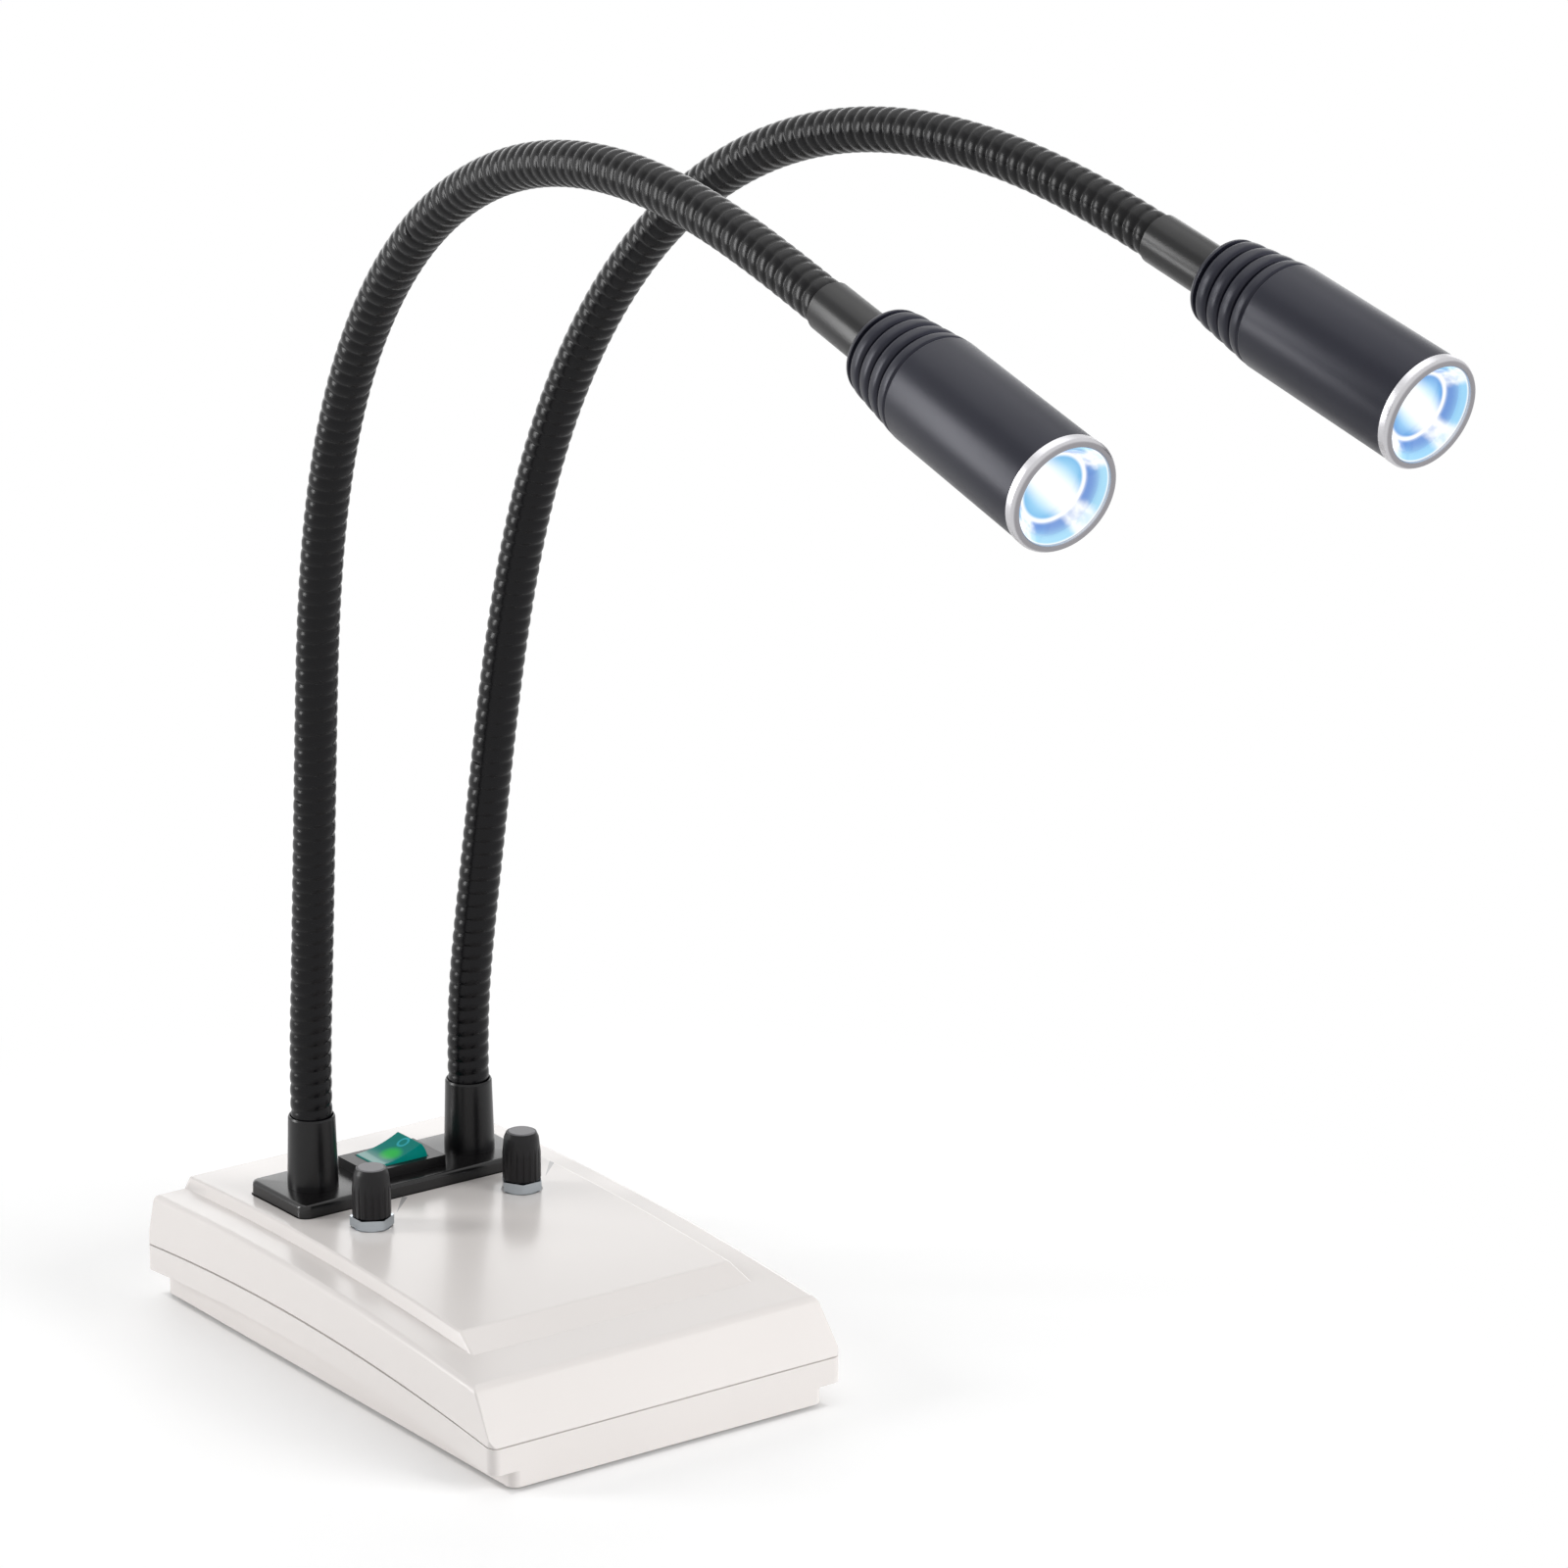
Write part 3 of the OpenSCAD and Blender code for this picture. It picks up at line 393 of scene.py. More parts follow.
@dataclass(frozen=True)
class LitRocker(Finish):
    """Green plastic lit from inside, brightest in its dip, with an OFF ring on its raised half."""

    _: KW_ONLY
    deep: Colour = rgb(0, 126, 124)
    bright: Colour = rgb(50, 200, 76)
    dark: Colour = rgb(0, 30, 28)
    mark: Colour = rgb(60, 186, 200)
    centre_y: float = PLATE_Y
    glow_x: float = -1.5 * MM
    glow_y: float = -1.8 * MM
    reach: float = 4 * MM
    mark_x: float = 4 * MM
    mark_radius: float = 1.6 * MM
    strength: float = 0.3
    roughness: float = 0.15
    specular: float = 0.05
    stretch: float = 1.2
    cloud_scale: float = 420.0
    cloud_share: float = 0.1
    dark_least: float = 0.4
    dark_drift: float = 0.2
    glow_share: float = 0.85
    mark_line: Point2 = (0.12, 0.32)
    mark_share: float = 0.8
    gloss: float = 0.9

    def paint(self, graph: Graph) -> Paint:
        """The glow, the ring mark and the glossy pressed half."""
        x, y = graph.plan()
        y = y - self.centre_y
        dx = (x - self.glow_x) / self.reach
        dy = (y - self.glow_y) / (self.reach * self.stretch)
        near = 1 - (dx * dx + dy * dy).step(0.0, 1.0)
        cloud = graph.noise(self.cloud_scale)
        glow = graph.mix(near * self.glow_share + cloud * self.cloud_share, self.deep, self.bright)
        mx = x - self.mark_x
        ring = abs((mx * mx + y * y).maths("SQRT") - self.mark_radius) / self.mark_radius
        colour = graph.mix((1 - ring.step(*self.mark_line)) * self.mark_share, glow, self.mark)
        pressed = 1 - x.step(self.glow_x - self.reach, self.glow_x)
        light = {"Emission Color": colour, "Emission Strength": self.strength}
        body = graph.mix(cloud * self.dark_drift + self.dark_least, colour, self.dark)
        return body, cloud, light | {"Coat Weight": pressed * self.gloss}


@dataclass(frozen=True)
class LensGlow(Finish):
    """Lit lens: a white bar between blue petals on its floor, and blue blocks round its wall."""

    _: KW_ONLY
    axis: tuple[Vector, Vector, Vector]
    radius: float
    floor_share: float
    blues: Blues
    white: Colour = rgb(253, 254, 255)
    glass: Colour = (0.05, 0.06, 0.07, 1.0)
    strength: float = 1.0
    roughness: float = 0.11
    relief: float = 0.05
    relief_depth: float = 0.0001
    coat: float = 0.3
    coat_roughness: float = 0.03
    bar_turn: float = 50.0
    bar_half: Point2 = (0.1, 0.5)
    petal_end: Point2 = (-0.1, -0.02)
    wall_start: Point2 = (-0.02, 0.05)
    blue_change: Point2 = (-0.03, 0.0)
    floor_fade: float = 0.3
    wall_fade: Point2 = (0.06, 0.95)
    cloud_scale: float = 300.0
    cloud_share: float = 0.5
    block_edge: Point2 = (0.5, 1.0)
    haze_edge: Point2 = (0.4, 0.7)
    rim_edge: Point2 = (0.97, 1.0)

    def paint(self, graph: Graph) -> Paint:
        """Bar and petals on the floor, blocks and haze on the wall."""
        centre, across, upward = self.axis
        x = graph.along(centre, across) / self.radius
        y = graph.along(centre, upward) / self.radius
        never_zero = 0.0001
        square = x * x + y * y + never_zero
        radius = square.maths("SQRT")
        lobes = abs((x * x - y * y) / square)
        cloud = graph.noise(self.cloud_scale)
        edge = self.floor_share

        def past(band: Point2) -> Value:
            """Rise over a band of radii, measured from the floor's edge."""
            return radius.step(edge + band[0], edge + band[1])

        bar = math.radians(self.bar_turn)
        beside_bar = abs(x * math.cos(bar) + y * math.sin(bar))
        petal = beside_bar.step(*self.bar_half) * (1 - past(self.petal_end))
        on_wall = past(self.wall_start) * (1 - radius.step(*self.rim_edge))
        block = (lobes + cloud * self.cloud_share).step(*self.block_edge) * on_wall
        light, petal_blue, deep = self.blues
        fade, full = self.wall_fade
        floor_blue = graph.mix(radius.step(self.floor_fade, edge), light, petal_blue)
        wall_blue = graph.mix(radius.step(edge + fade, full), deep, light)
        blue = graph.mix(past(self.blue_change), floor_blue, wall_blue)
        haze = on_wall * cloud.step(*self.haze_edge) * self.cloud_share
        share = petal.maths("MAXIMUM", block).maths("MAXIMUM", haze)
        colour = graph.mix(share, self.white, blue)
        light = {"Emission Color": colour, "Emission Strength": self.strength}
        return self.glass, cloud, light


FINISHES = {
    "casing": MouldedPlastic(
        "warm_white_casing",
        rgb(231, 226, 223),
        rgb(225, 220, 217),
        roughness=0.24,
        roughness_drift=0.04,
        relief=0.05,
        coat=0.2,
        prints=(Wedge(-14.6 * MM, 24.4 * MM), Wedge(36.9 * MM, 24.4 * MM)),
    ),
    "pad": Rubber("pad_rubber", rgb(48, 47, 47), rgb(36, 35, 35)),
    "steel": Metal("plated_steel", rgb(196, 203, 208), rgb(172, 180, 187), roughness=0.18),
    "board": CircuitBoard("driver_board_lacquer", rgb(24, 96, 52), rgb(52, 128, 74)),
    "brass": Metal("plain_brass", rgb(204, 170, 96), rgb(182, 146, 78), roughness=0.3),
    "components": MouldedPlastic(
        "component_black", rgb(62, 62, 66), rgb(48, 48, 52), roughness=0.5
    ),
    "black_plastic": MouldedPlastic(
        "black_switch_plastic", rgb(20, 19, 20), rgb(14, 13, 14), roughness=0.3, specular=0.3
    ),
    "gloss_black": MouldedPlastic(
        "black_plate_plastic", rgb(17, 16, 17), rgb(12, 11, 12), roughness=0.22
    ),
    "rocker_green": LitRocker("lit_green_rocker"),
    "black_metal": Metal(
        "black_sleeve_metal", rgb(17, 16, 18), rgb(11, 11, 12),
        metallic=0.0, roughness=0.3, specular=0.34,
    ),
    "aluminium": Metal(
        "plain_aluminium", rgb(205, 206, 208), rgb(180, 181, 184), roughness=0.3
    ),
    "knob_black": MouldedPlastic(
        "black_knob_plastic", rgb(21, 20, 22), rgb(15, 14, 16), roughness=0.36, specular=0.3
    ),
    "cap_grey": MouldedPlastic(
        "grey_knob_cap", rgb(124, 123, 126), rgb(112, 111, 114), roughness=0.4, specular=0.3
    ),
    "gooseneck": Metal(
        "black_gooseneck_coat", rgb(12, 11, 14), rgb(7, 7, 9),
        metallic=0.0, roughness=0.26, specular=0.2,
    ),
    "head_black": Metal(
        "black_anodised_head", rgb(37, 38, 51), rgb(29, 30, 42),
        metallic=0.2, roughness=0.36, specular=0.32,
        line_scale=(2200.0, 2200.0, 2200.0),
    ),
    "ring_silver": Metal(
        "polished_ring", rgb(216, 215, 218), rgb(192, 191, 195), roughness=0.36
    ),
    "lens": MouldedPlastic(
        "clear_lens_edge", rgb(214, 232, 246), rgb(196, 220, 240), roughness=0.1
    ),
    "led_board": MouldedPlastic(
        "white_lamp_board", rgb(226, 226, 220), rgb(208, 208, 202), roughness=0.45
    ),
    "led": MouldedPlastic("lamp_dome", rgb(246, 232, 170), rgb(238, 218, 140), roughness=0.15),
}


class Workshop:
    """Makes pieces: new meshes, softened copies of nodes, and their finishes."""

    def __init__(self) -> None:
        """Build one material for each of the record's slots."""
        self.materials = {slot: finish.material() for slot, finish in FINISHES.items()}
        self.node_slot = {s["node"]: s["material_slot"] for s in frame["record"]["subparts"]}
        self.node_body = {
            node: body
            for body, nodes in frame["record"]["behaviour"]["bodies"].items()
            for node in nodes
        }

    def dress_nodes(self) -> None:
        """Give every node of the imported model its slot's material."""
        for name, thing in frame["nodes"].items():
            thing.data.materials.clear()
            thing.data.materials.append(self.materials[self.node_slot[name]])

    def piece(
        self,
        name: str,
        mesh: Mesh,
        slot: str,
        stands_for: Iterable[str] = (),
        material: Material | None = None,
    ) -> bpy.types.Object:
        """Turn a mesh into a dressed piece that doesn't ride yet.

        Args:
            name: the piece's name.
            mesh: its mesh, in the frame's place.
            slot: the record's material slot.
            stands_for: nodes that it replaces.
            material: its material, if not the slot's own.

        Returns:
            The piece.
        """
        thing = link(name, mesh)
        mesh.materials.clear()
        mesh.materials.append(material or self.materials[slot])
        for node in stands_for:
            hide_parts(node)
        LOG.info("%s: %d faces", name, len(mesh.polygons))
        return thing

    def softened(
        self,
        node: str,
        width: float,
        segments: int = 3,
        angle: float = 28.0,
        share: EdgeShare | None = None,
    ) -> None:
        """Copy a node and round its edges, in the node's place and riding on its body.

        Args:
            node: the node that the copy stands for.
            width: the widest rounding in metres.
            segments: facets across the rounding.
            angle: the least angle of an edge that is rounded, in degrees.
            share: an edge's part of the width, from its middle and direction; if left out, all.
        """
        mesh = frame["nodes"][node].data.copy()
        work = bmesh.new()
        work.from_mesh(mesh)
        bmesh.ops.remove_doubles(work, verts=work.verts, dist=WELD)
        bmesh.ops.dissolve_limit(work, angle_limit=FLAT, verts=work.verts, edges=work.edges)
        weight = work.edges.layers.float.new("bevel_weight_edge")
        for face in work.faces:
            face.smooth = True
        for edge in work.edges:
            if edge.calc_face_angle(0.0) > math.radians(angle):
                start, end = (corner.co for corner in edge.verts)
                middle, direction = (start + end) / 2, (end - start).normalized()
                edge[weight] = share(middle, direction) if share else 1.0
                edge.smooth = edge[weight] > 0
        work.to_mesh(mesh)
        work.free()
        thing = self.piece(f"{node}_soft", mesh, self.node_slot[node], [node])
        bevel = thing.modifiers.new("edges", "BEVEL")
        bevel.width = width
        bevel.segments = segments
        bevel.limit_method = "WEIGHT"
        bevel.use_clamp_overlap = share is None
        level = thing.modifiers.new("flat_faces", "WEIGHTED_NORMAL")
        level.keep_sharp = True
        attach(thing, self.node_body[node])


def link(name: str, data: bpy.types.ID) -> bpy.types.Object:
    """Put an object with the data into the scene."""
    thing = bpy.data.objects.new(name, data)
    bpy.context.scene.collection.objects.link(thing)
    return thing


def mesh_from(
    name: str, points: Sequence[Vector], faces: Sequence[Sequence[int]], crease: float = CREASE
) -> Mesh:
    """Make a smooth-shaded mesh.

    Args:
        name: the mesh's name.
        points: its corners.
        faces: corner numbers, turning left seen from outside.
        crease: edges sharper than this many degrees stay sharp.

    Returns:
        The mesh.
    """
    mesh = bpy.data.meshes.new(name)
    mesh.from_pydata([tuple(p) for p in points], [], [tuple(f) for f in faces])
    mesh.validate()
    mesh.shade_smooth()
    mesh.set_sharp_from_angle(angle=math.radians(crease))
    return mesh


def circle(count: int) -> list[Point2]:
    """Directions at even steps round a circle."""
    turns = (2 * math.pi * k / count for k in range(count))
    return [(math.cos(turn), math.sin(turn)) for turn in turns]


def quarter(steps: int) -> list[Point2]:
    """Cosine and sine at even steps over a quarter turn."""
    return circle(4 * steps)[: steps + 1]


def rounded(*corners: tuple[float, float, float], steps: int = 5) -> list[Point2]:
    """Round the corners of a closed outline.

    Args:
        corners: two coordinates and a radius each, in order; radius 0 keeps it sharp.
        steps: facets in each rounding.

    Returns:
        The rounded outline.
    """
    made: list[Point2] = []
    longest = 0.45
    spots = [Vector(corner[:2]) for corner in corners]
    for i, (x, y, radius) in enumerate(corners):
        if radius <= 0:
            made.append((x, y))
            continue
        here = spots[i]
        before = spots[i - 1] - here
        after = spots[(i + 1) % len(spots)] - here
        cut = min(radius, before.length * longest, after.length * longest)
        start = here + before.normalized() * cut
        end = here + after.normalized() * cut
        for k in range(steps + 1):
            t = k / steps
            spot = start * (1 - t) ** 2 + here * (2 * t * (1 - t)) + end * t**2
            made.append((spot.x, spot.y))
    return made


def skin(rings: Sequence[Sequence[int]]) -> list[list[int]]:
    """Join each ring of corners to the next, and the last to the first.

    Args:
        rings: corner numbers; a ring may be one corner over and over.

    Returns:
        The faces.
    """
    faces: list[list[int]] = []
    for i, ring in enumerate(rings):
        following = rings[(i + 1) % len(rings)]
        for k in range(len(ring)):
            n = (k + 1) % len(ring)
            corners = list(dict.fromkeys((ring[k], ring[n], following[n], following[k])))
            if len(corners) > 2:
                faces.append(corners)
    return faces


def lathe(
    name: str, outline: Sequence[Point2], place: Matrix, sides: int, crease: float
) -> Mesh:
    """Turn a closed outline of radius and height about an axis.

    Args:
        name: the mesh's name.
        outline: [radius, height] points, going up the outside and down the inside.
        place: where the axis and its foot lie.
        sides: facets round the axis.
        crease: edges sharper than this many degrees stay sharp.

    Returns:
        The mesh.
    """
    points: list[Vector] = []
    rings: list[list[int]] = []
    for radius, height in outline:
        first = len(points)
        if radius < WELD:
            points.append(place @ Vector((0, 0, height)))
            rings.append([first] * sides)
            continue
        for cos, sin in circle(sides):
            points.append(place @ Vector((radius * cos, radius * sin, height)))
        rings.append(list(range(first, first + sides)))
    return mesh_from(name, points, skin(rings), crease)


@dataclass(frozen=True)
class ArmPose:
    """How one arm is bent: it eases into a leaning riser, then goes through one smooth bend."""

    side: str
    foot: Vector
    lean: float
    riser: float
    bend_end: float
    droop: float
    splay: float
    lean_ease: float = 40 * MM
    splay_ease: float = 60 * MM
    path_step: float = 1 * MM

    def tangent(self, length: float) -> Vector:
        """The arm's direction at a length above its socket."""
        bend = smooth((length - self.riser) / (self.bend_end - self.riser))
        forward = self.lean * smooth(length / self.lean_ease) + (self.droop - self.lean) * bend
        a = math.radians(forward)
        b = math.radians(self.splay * smooth(length / self.splay_ease))
        return Vector((math.sin(b), -math.cos(b) * math.sin(a), math.cos(b) * math.cos(a)))

    def line(self, start: float, end: float) -> Callable[[float], Vector]:
        """Walk along the arm.

        Args:
            start: length where the walk starts; the socket's mouth is 0.
            end: length where it ends.

        Returns:
            A function from length to point.
        """
        spots = [self.foot + Vector((0, 0, start))]
        count = int((end - start) / self.path_step) + 2
        for i in range(count):
            spots.append(
                spots[-1] + self.tangent(start + (i + 0.5) * self.path_step) * self.path_step
            )

        def at(length: float) -> Vector:
            """The point at one length."""
            u = (length - start) / self.path_step
            i = min(int(u), count - 1)
            return spots[i].lerp(spots[i + 1], u - i)

        return at

    def axes(self, length: float) -> tuple[Vector, Vector, Vector]:
        """Across, upward and along directions at one length."""
        along = self.tangent(length)
        across = (Vector((1, 0, 0)) - along * along.x).normalized()
        return across, along.cross(across), along


@dataclass
class Casing:
    """The two halves of the base's casing, with softly moulded edges."""

    edge: float = 1.8 * MM
    tray_edge: float = 0.3 * MM
    half_width: float = 59 * MM
    half_length: float = 91.5 * MM
    border: float = 34.1 * MM
    crown_y: float = 35 * MM
    crown_radius: float = 1200 * MM
    panel_half: float = 45.6 * MM
    panel_front: float = -64.5 * MM
    front_foot: float = 16.4 * MM
    rear_foot: float = 22 * MM
    side_margin: float = 4 * MM
    front_margin: float = 14 * MM
    rear_margin: float = 6 * MM
    panel_margin: float = 12 * MM
    panel_rise: float = 1.2 * MM
    slack: float = 1 * MM
    steep: float = 0.55
    corner_share: float = 0.4
    panel_share: float = 0.35
    inner_share: float = 0.12

    def cover_share(self, spot: Vector, direction: Vector) -> float:
        """How far an edge of the cover is rounded.

        Args:
            spot: the edge's middle.
            direction: the way that it runs.

        Returns:
            Its share of the widest rounding.
        """
        at_corner = abs(spot.x) > self.half_width - self.side_margin
        outside = (
            at_corner
            or spot.y < self.front_margin - self.half_length
            or spot.y > self.half_length - self.rear_margin
        )
        height = spot.z - self.border + (spot.y - self.crown_y) ** 2 / (2 * self.crown_radius)
        near_top = height > -self.slack
        if abs(direction.z) > self.steep:
            above_foot = spot.z > (self.rear_foot if spot.y > 0 else self.front_foot)
            return self.corner_share if outside and above_foot and (at_corner or near_top) else 0.0
        if height > self.panel_rise:
            at_side = abs(spot.x) > self.panel_half - self.slack
            at_front = spot.y < self.panel_front + self.panel_margin
            return self.panel_share if at_side or at_front or outside else self.inner_share
        return 1.0 if outside and near_top else 0.0

    def build(self, shop: Workshop) -> None:
        """Round the casing's edges."""
        shop.softened("top_cover", self.edge, segments=4, angle=14.0, share=self.cover_share)
        shop.softened("bottom_tray", self.tray_edge)


@dataclass
class SwitchPlate:
    """The black plate between the arms, with its lit rocker switch."""

    width: float = 79.5 * MM
    depth: float = 29.5 * MM
    corner: float = 3 * MM
    centre: Vector = field(default_factory=lambda: Vector((0, PLATE_Y, 0)))
    low: float = 36.2 * MM
    top: float = 41.3 * MM
    round_edge: float = 1.2 * MM
    stud_radius: float = 5.3 * MM
    switch_opening: Point2 = (19.8 * MM, 15.6 * MM)
    edge: float = 0.5 * MM
    rocker_edge: float = 0.4 * MM
    corner_steps: int = 8
    rim_steps: int = 6
    hole_sides: int = 40

    def outline(self, inset: float) -> list[Point2]:
        """The plate's outline with round corners, drawn in by an inset."""
        half_w, half_d = self.width / 2 - self.corner, self.depth / 2 - self.corner
        reach = self.corner - inset
        made: list[Point2] = []
        for sx, sy in ((1, 1), (-1, 1), (-1, -1), (1, -1)):
            for cos, sin in quarter(self.corner_steps):
                x, y = (cos, sin) if sx == sy else (sin, cos)
                made.append((sx * (half_w + reach * x), sy * (half_d + reach * y)))
        return made

    def holes(self) -> list[list[Point2]]:
        """Outlines of the two stud holes and the switch opening."""
        radius = self.stud_radius
        studs = [
            [(x + radius * cos, radius * sin) for cos, sin in circle(self.hole_sides)]
            for x in (-SOCKET_X, SOCKET_X)
        ]
        w, d = self.switch_opening[0] / 2, self.switch_opening[1] / 2
        return [*studs, [(w, d), (-w, d), (-w, -d), (w, -d)]]

    def plate_mesh(self) -> Mesh:
        """The plate with its rounded rim and its holes."""
        work = bmesh.new()

        def ring(outline: Sequence[Point2], height: float) -> list[Corner]:
            """Corners of one outline at a height."""
            return [work.verts.new(self.centre + Vector((x, y, height))) for x, y in outline]

        def wall(lower: Sequence[Corner], upper: Sequence[Corner]) -> None:
            """Faces between two rings."""
            for k in range(len(lower)):
                n = (k + 1) % len(lower)
                work.faces.new((lower[k], lower[n], upper[n], upper[k]))

        def rim(loop: Sequence[Corner]) -> list[bmesh.types.BMEdge]:
            """Edges round one ring."""
            return [work.edges.get((loop[k - 1], loop[k])) for k in range(len(loop))]

        levels = [(self.low, 0.0)] + [
            (self.top - self.round_edge * (1 - sin), self.round_edge * (1 - cos))
            for cos, sin in quarter(self.rim_steps)
        ]
        rings = [ring(self.outline(inset), height) for height, inset in levels]
        for lower, upper in zip(rings, rings[1:]):
            wall(lower, upper)
        bottom, lid = rim(rings[0]), rim(rings[-1])
        for hole in self.holes():
            lower, upper = ring(hole, self.low), ring(hole, self.top)
            wall(upper, lower)
            bottom += rim(lower)
            lid += rim(upper)
        bmesh.ops.triangle_fill(work, use_beauty=True, edges=bottom)
        bmesh.ops.triangle_fill(work, use_beauty=True, edges=lid)
        bmesh.ops.recalc_face_normals(work, faces=work.faces)
        mesh = bpy.data.meshes.new("neck_plate_moulded")
        work.to_mesh(mesh)
        work.free()
        mesh.shade_smooth()
        mesh.set_sharp_from_angle(angle=math.radians(CREASE))
        return mesh

    def build(self, shop: Workshop) -> None:
        """Make the plate and round the switch's edges."""
        plate = shop.piece("neck_plate_moulded", self.plate_mesh(), "gloss_black", ["neck_plate"])
        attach(plate, "base")
        shop.softened("switch_housing", self.edge)
        shop.softened("switch_rocker", self.rocker_edge)


@dataclass
class Dimmers:
    """The two fluted knobs."""

    edge: float = 0.25 * MM

    def build(self, shop: Workshop) -> None:
        """Round the knobs' edges."""
        for side in ("left", "right"):
            shop.softened(f"{side}_knob", self.edge, segments=2)


@dataclass
class Gooseneck:
    """A helically wound neck, drawn in pieces that each span one joint."""

    pose: ArmPose
    seat: float = 16.7 * MM
    end_seat: float = 12.7 * MM
    radius: float = 6.08 * MM
    rib_depth: float = 0.6 * MM
    pitch: float = 4 * MM
    bore: float = 2.7 * MM
    joints: int = 5
    sides: int = 28
    rib_steps: int = 8
    crease: float = 75.0
    bend_half: float = 22 * MM

    def rib_radius(self, length: float, turn: float) -> float:
        """The winding's radius at a length and an angle round the neck."""
        phase = (length / self.pitch - turn / (2 * math.pi)) % 1.0
        offset = 2 * abs(phase - 0.5)
        return self.radius - self.rib_depth * (1 - math.sqrt(max(0.0, 1 - offset * offset)))

    def piece_mesh(self, name: str, start: float, end: float) -> Mesh:
        """One stretch of the neck as a closed tube.

        Args:
            name: the mesh's name.
            start, end: lengths where it starts and ends.

        Returns:
            The mesh.
        """
        at = self.pose.line(-self.seat, NECK_LEN + self.end_seat)
        count = max(1, round((end - start) / self.pitch * self.rib_steps))
        stations = [start + (end - start) * i / count for i in range(count + 1)]
        turns = [2 * math.pi * k / self.sides for k in range(self.sides)]
        points: list[Vector] = []

        def add_ring(length: float, radii: Iterable[float]) -> None:
            """Add the points round the neck at one length."""
            centre = at(length)
            across, upward, _ = self.pose.axes(length)
            for turn, radius in zip(turns, radii):
                points.append(centre + (across * math.cos(turn) + upward * math.sin(turn)) * radius)

        for length in stations:
            add_ring(length, [self.rib_radius(length, turn) for turn in turns])
        inner = stations[:: self.rib_steps]
        if inner[-1] != stations[-1]:
            inner.append(stations[-1])
        for length in reversed(inner):
            add_ring(length, [self.bore] * self.sides)
        firsts = range(0, len(points), self.sides)
        rings = [range(first, first + self.sides) for first in firsts]
        return mesh_from(name, points, skin(rings), self.crease)

    def build(self, shop: Workshop) -> None:
        """Make the neck's pieces along the arm's pose."""
        side = self.pose.side
        span = NECK_LEN / self.joints
        at = self.pose.line(-self.seat, NECK_LEN + self.end_seat)
        for j in range(self.joints):
            start = -self.seat if j == 0 else j * span
            end = NECK_LEN + self.end_seat if j == self.joints - 1 else (j + 1) * span
            name = f"{side}_winding_{j + 1}"
            nodes = [f"{side}_neck_{j + 1}"]
            if j == self.joints - 1:
                nodes.append(f"{side}_neck_{j + 2}")
            thing = shop.piece(name, self.piece_mesh(name, start, end), "gooseneck", nodes)
            hinge = (j + 0.5) * span
            tuple(at(hinge - self.bend_half))
            tuple(at(hinge + self.bend_half))
            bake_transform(thing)


@dataclass
class LampHead:
    """A turned lamp head: ferrule, finned cap, barrel, front ring and lit lens."""

    pose: ArmPose
    blues: Blues
    neck_radius: float = 6.3 * MM
    ferrule_len: float = 23.5 * MM
    ferrule_radius: float = 6.8 * MM
    ferrule_taper: float = 0.1 * MM
    ferrule_round: float = 0.7 * MM
    cap_len: float = 21.5 * MM
    cap_rear_radius: float = 11.75 * MM
    barrel_len: float = 51 * MM
    barrel_rear_radius: float = 14.4 * MM
    barrel_radius: float = 14.75 * MM
    barrel_wall: float = 1.2 * MM
    barrel_rounds: Point2 = (0.5 * MM, 0.3 * MM)
    ring_len: float = 3.4 * MM
    ring_radius: float = 14.95 * MM
    ring_open: float = 12.9 * MM
    ring_bevel: Point2 = (0.9 * MM, 1.2 * MM)
    ring_lip: Point2 = (0.4 * MM, 0.5 * MM)
    ring_rounds: tuple[float, float, float, float] = (0.25 * MM, 0.4 * MM, 0.3 * MM, 0.2 * MM)
    lens_depth: float = 1.3 * MM
    lens_radius: float = 13.2 * MM
    lens_floor: float = 9.1 * MM
    lens_gap: float = 0.1 * MM
    lens_wall: float = 4.2 * MM
    lens_foot: float = 0.5 * MM
    lens_sill: Point2 = (0.1 * MM, 0.3 * MM)
    lens_moat: float = 0.3 * MM
    lens_dome: float = 0.6 * MM
    lens_back: Point2 = (4.5 * MM, 11 * MM)
    lens_flange: Point2 = (11 * MM, 1.6 * MM)
    lens_steps: int = 8
    grooves: int = 4
    groove_pitch: float = 4.78 * MM
    groove_first: float = 2.6 * MM
    groove_depth: float = 1.7 * MM
    fin_steps: int = 16
    shoulder: float = 2 * MM
    shoulder_steps: int = 6
    last_fin: Point2 = (0.15 * MM, 0.9 * MM)
    cap_lip: Point2 = (0.5 * MM, 0.4 * MM)
    sides: int = 96
    soft_crease: float = 50.0
    place: Matrix = field(init=False)

    def __post_init__(self) -> None:
        """Find the head's axis at the neck's end."""
        self.place = Matrix(self.pose.axes(NECK_LEN)).transposed().to_4x4()
        self.place.translation = self.pose.line(0.0, NECK_LEN)(NECK_LEN)

    def add(
        self,
        shop: Workshop,
        part: str,
        outline: Sequence[Point2],
        slot: str,
        material: Material | None = None,
        crease: float = CREASE,
    ) -> None:
        """Turn one part of the head and let it ride on the head.

        Args:
            shop: makes the piece.
            part: the part's name, as its node has it after the side.
            outline: its closed outline.
            slot: the record's material slot.
            material: its material, if not the slot's own.
            crease: edges sharper than this many degrees stay sharp.
        """
        node = f"{self.pose.side}_{part}"
        mesh = lathe(f"{node}_turned", outline, self.place, self.sides, crease)
        thing = shop.piece(f"{node}_turned", mesh, slot, [node], material)
        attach(thing, f"{self.pose.side}_head")

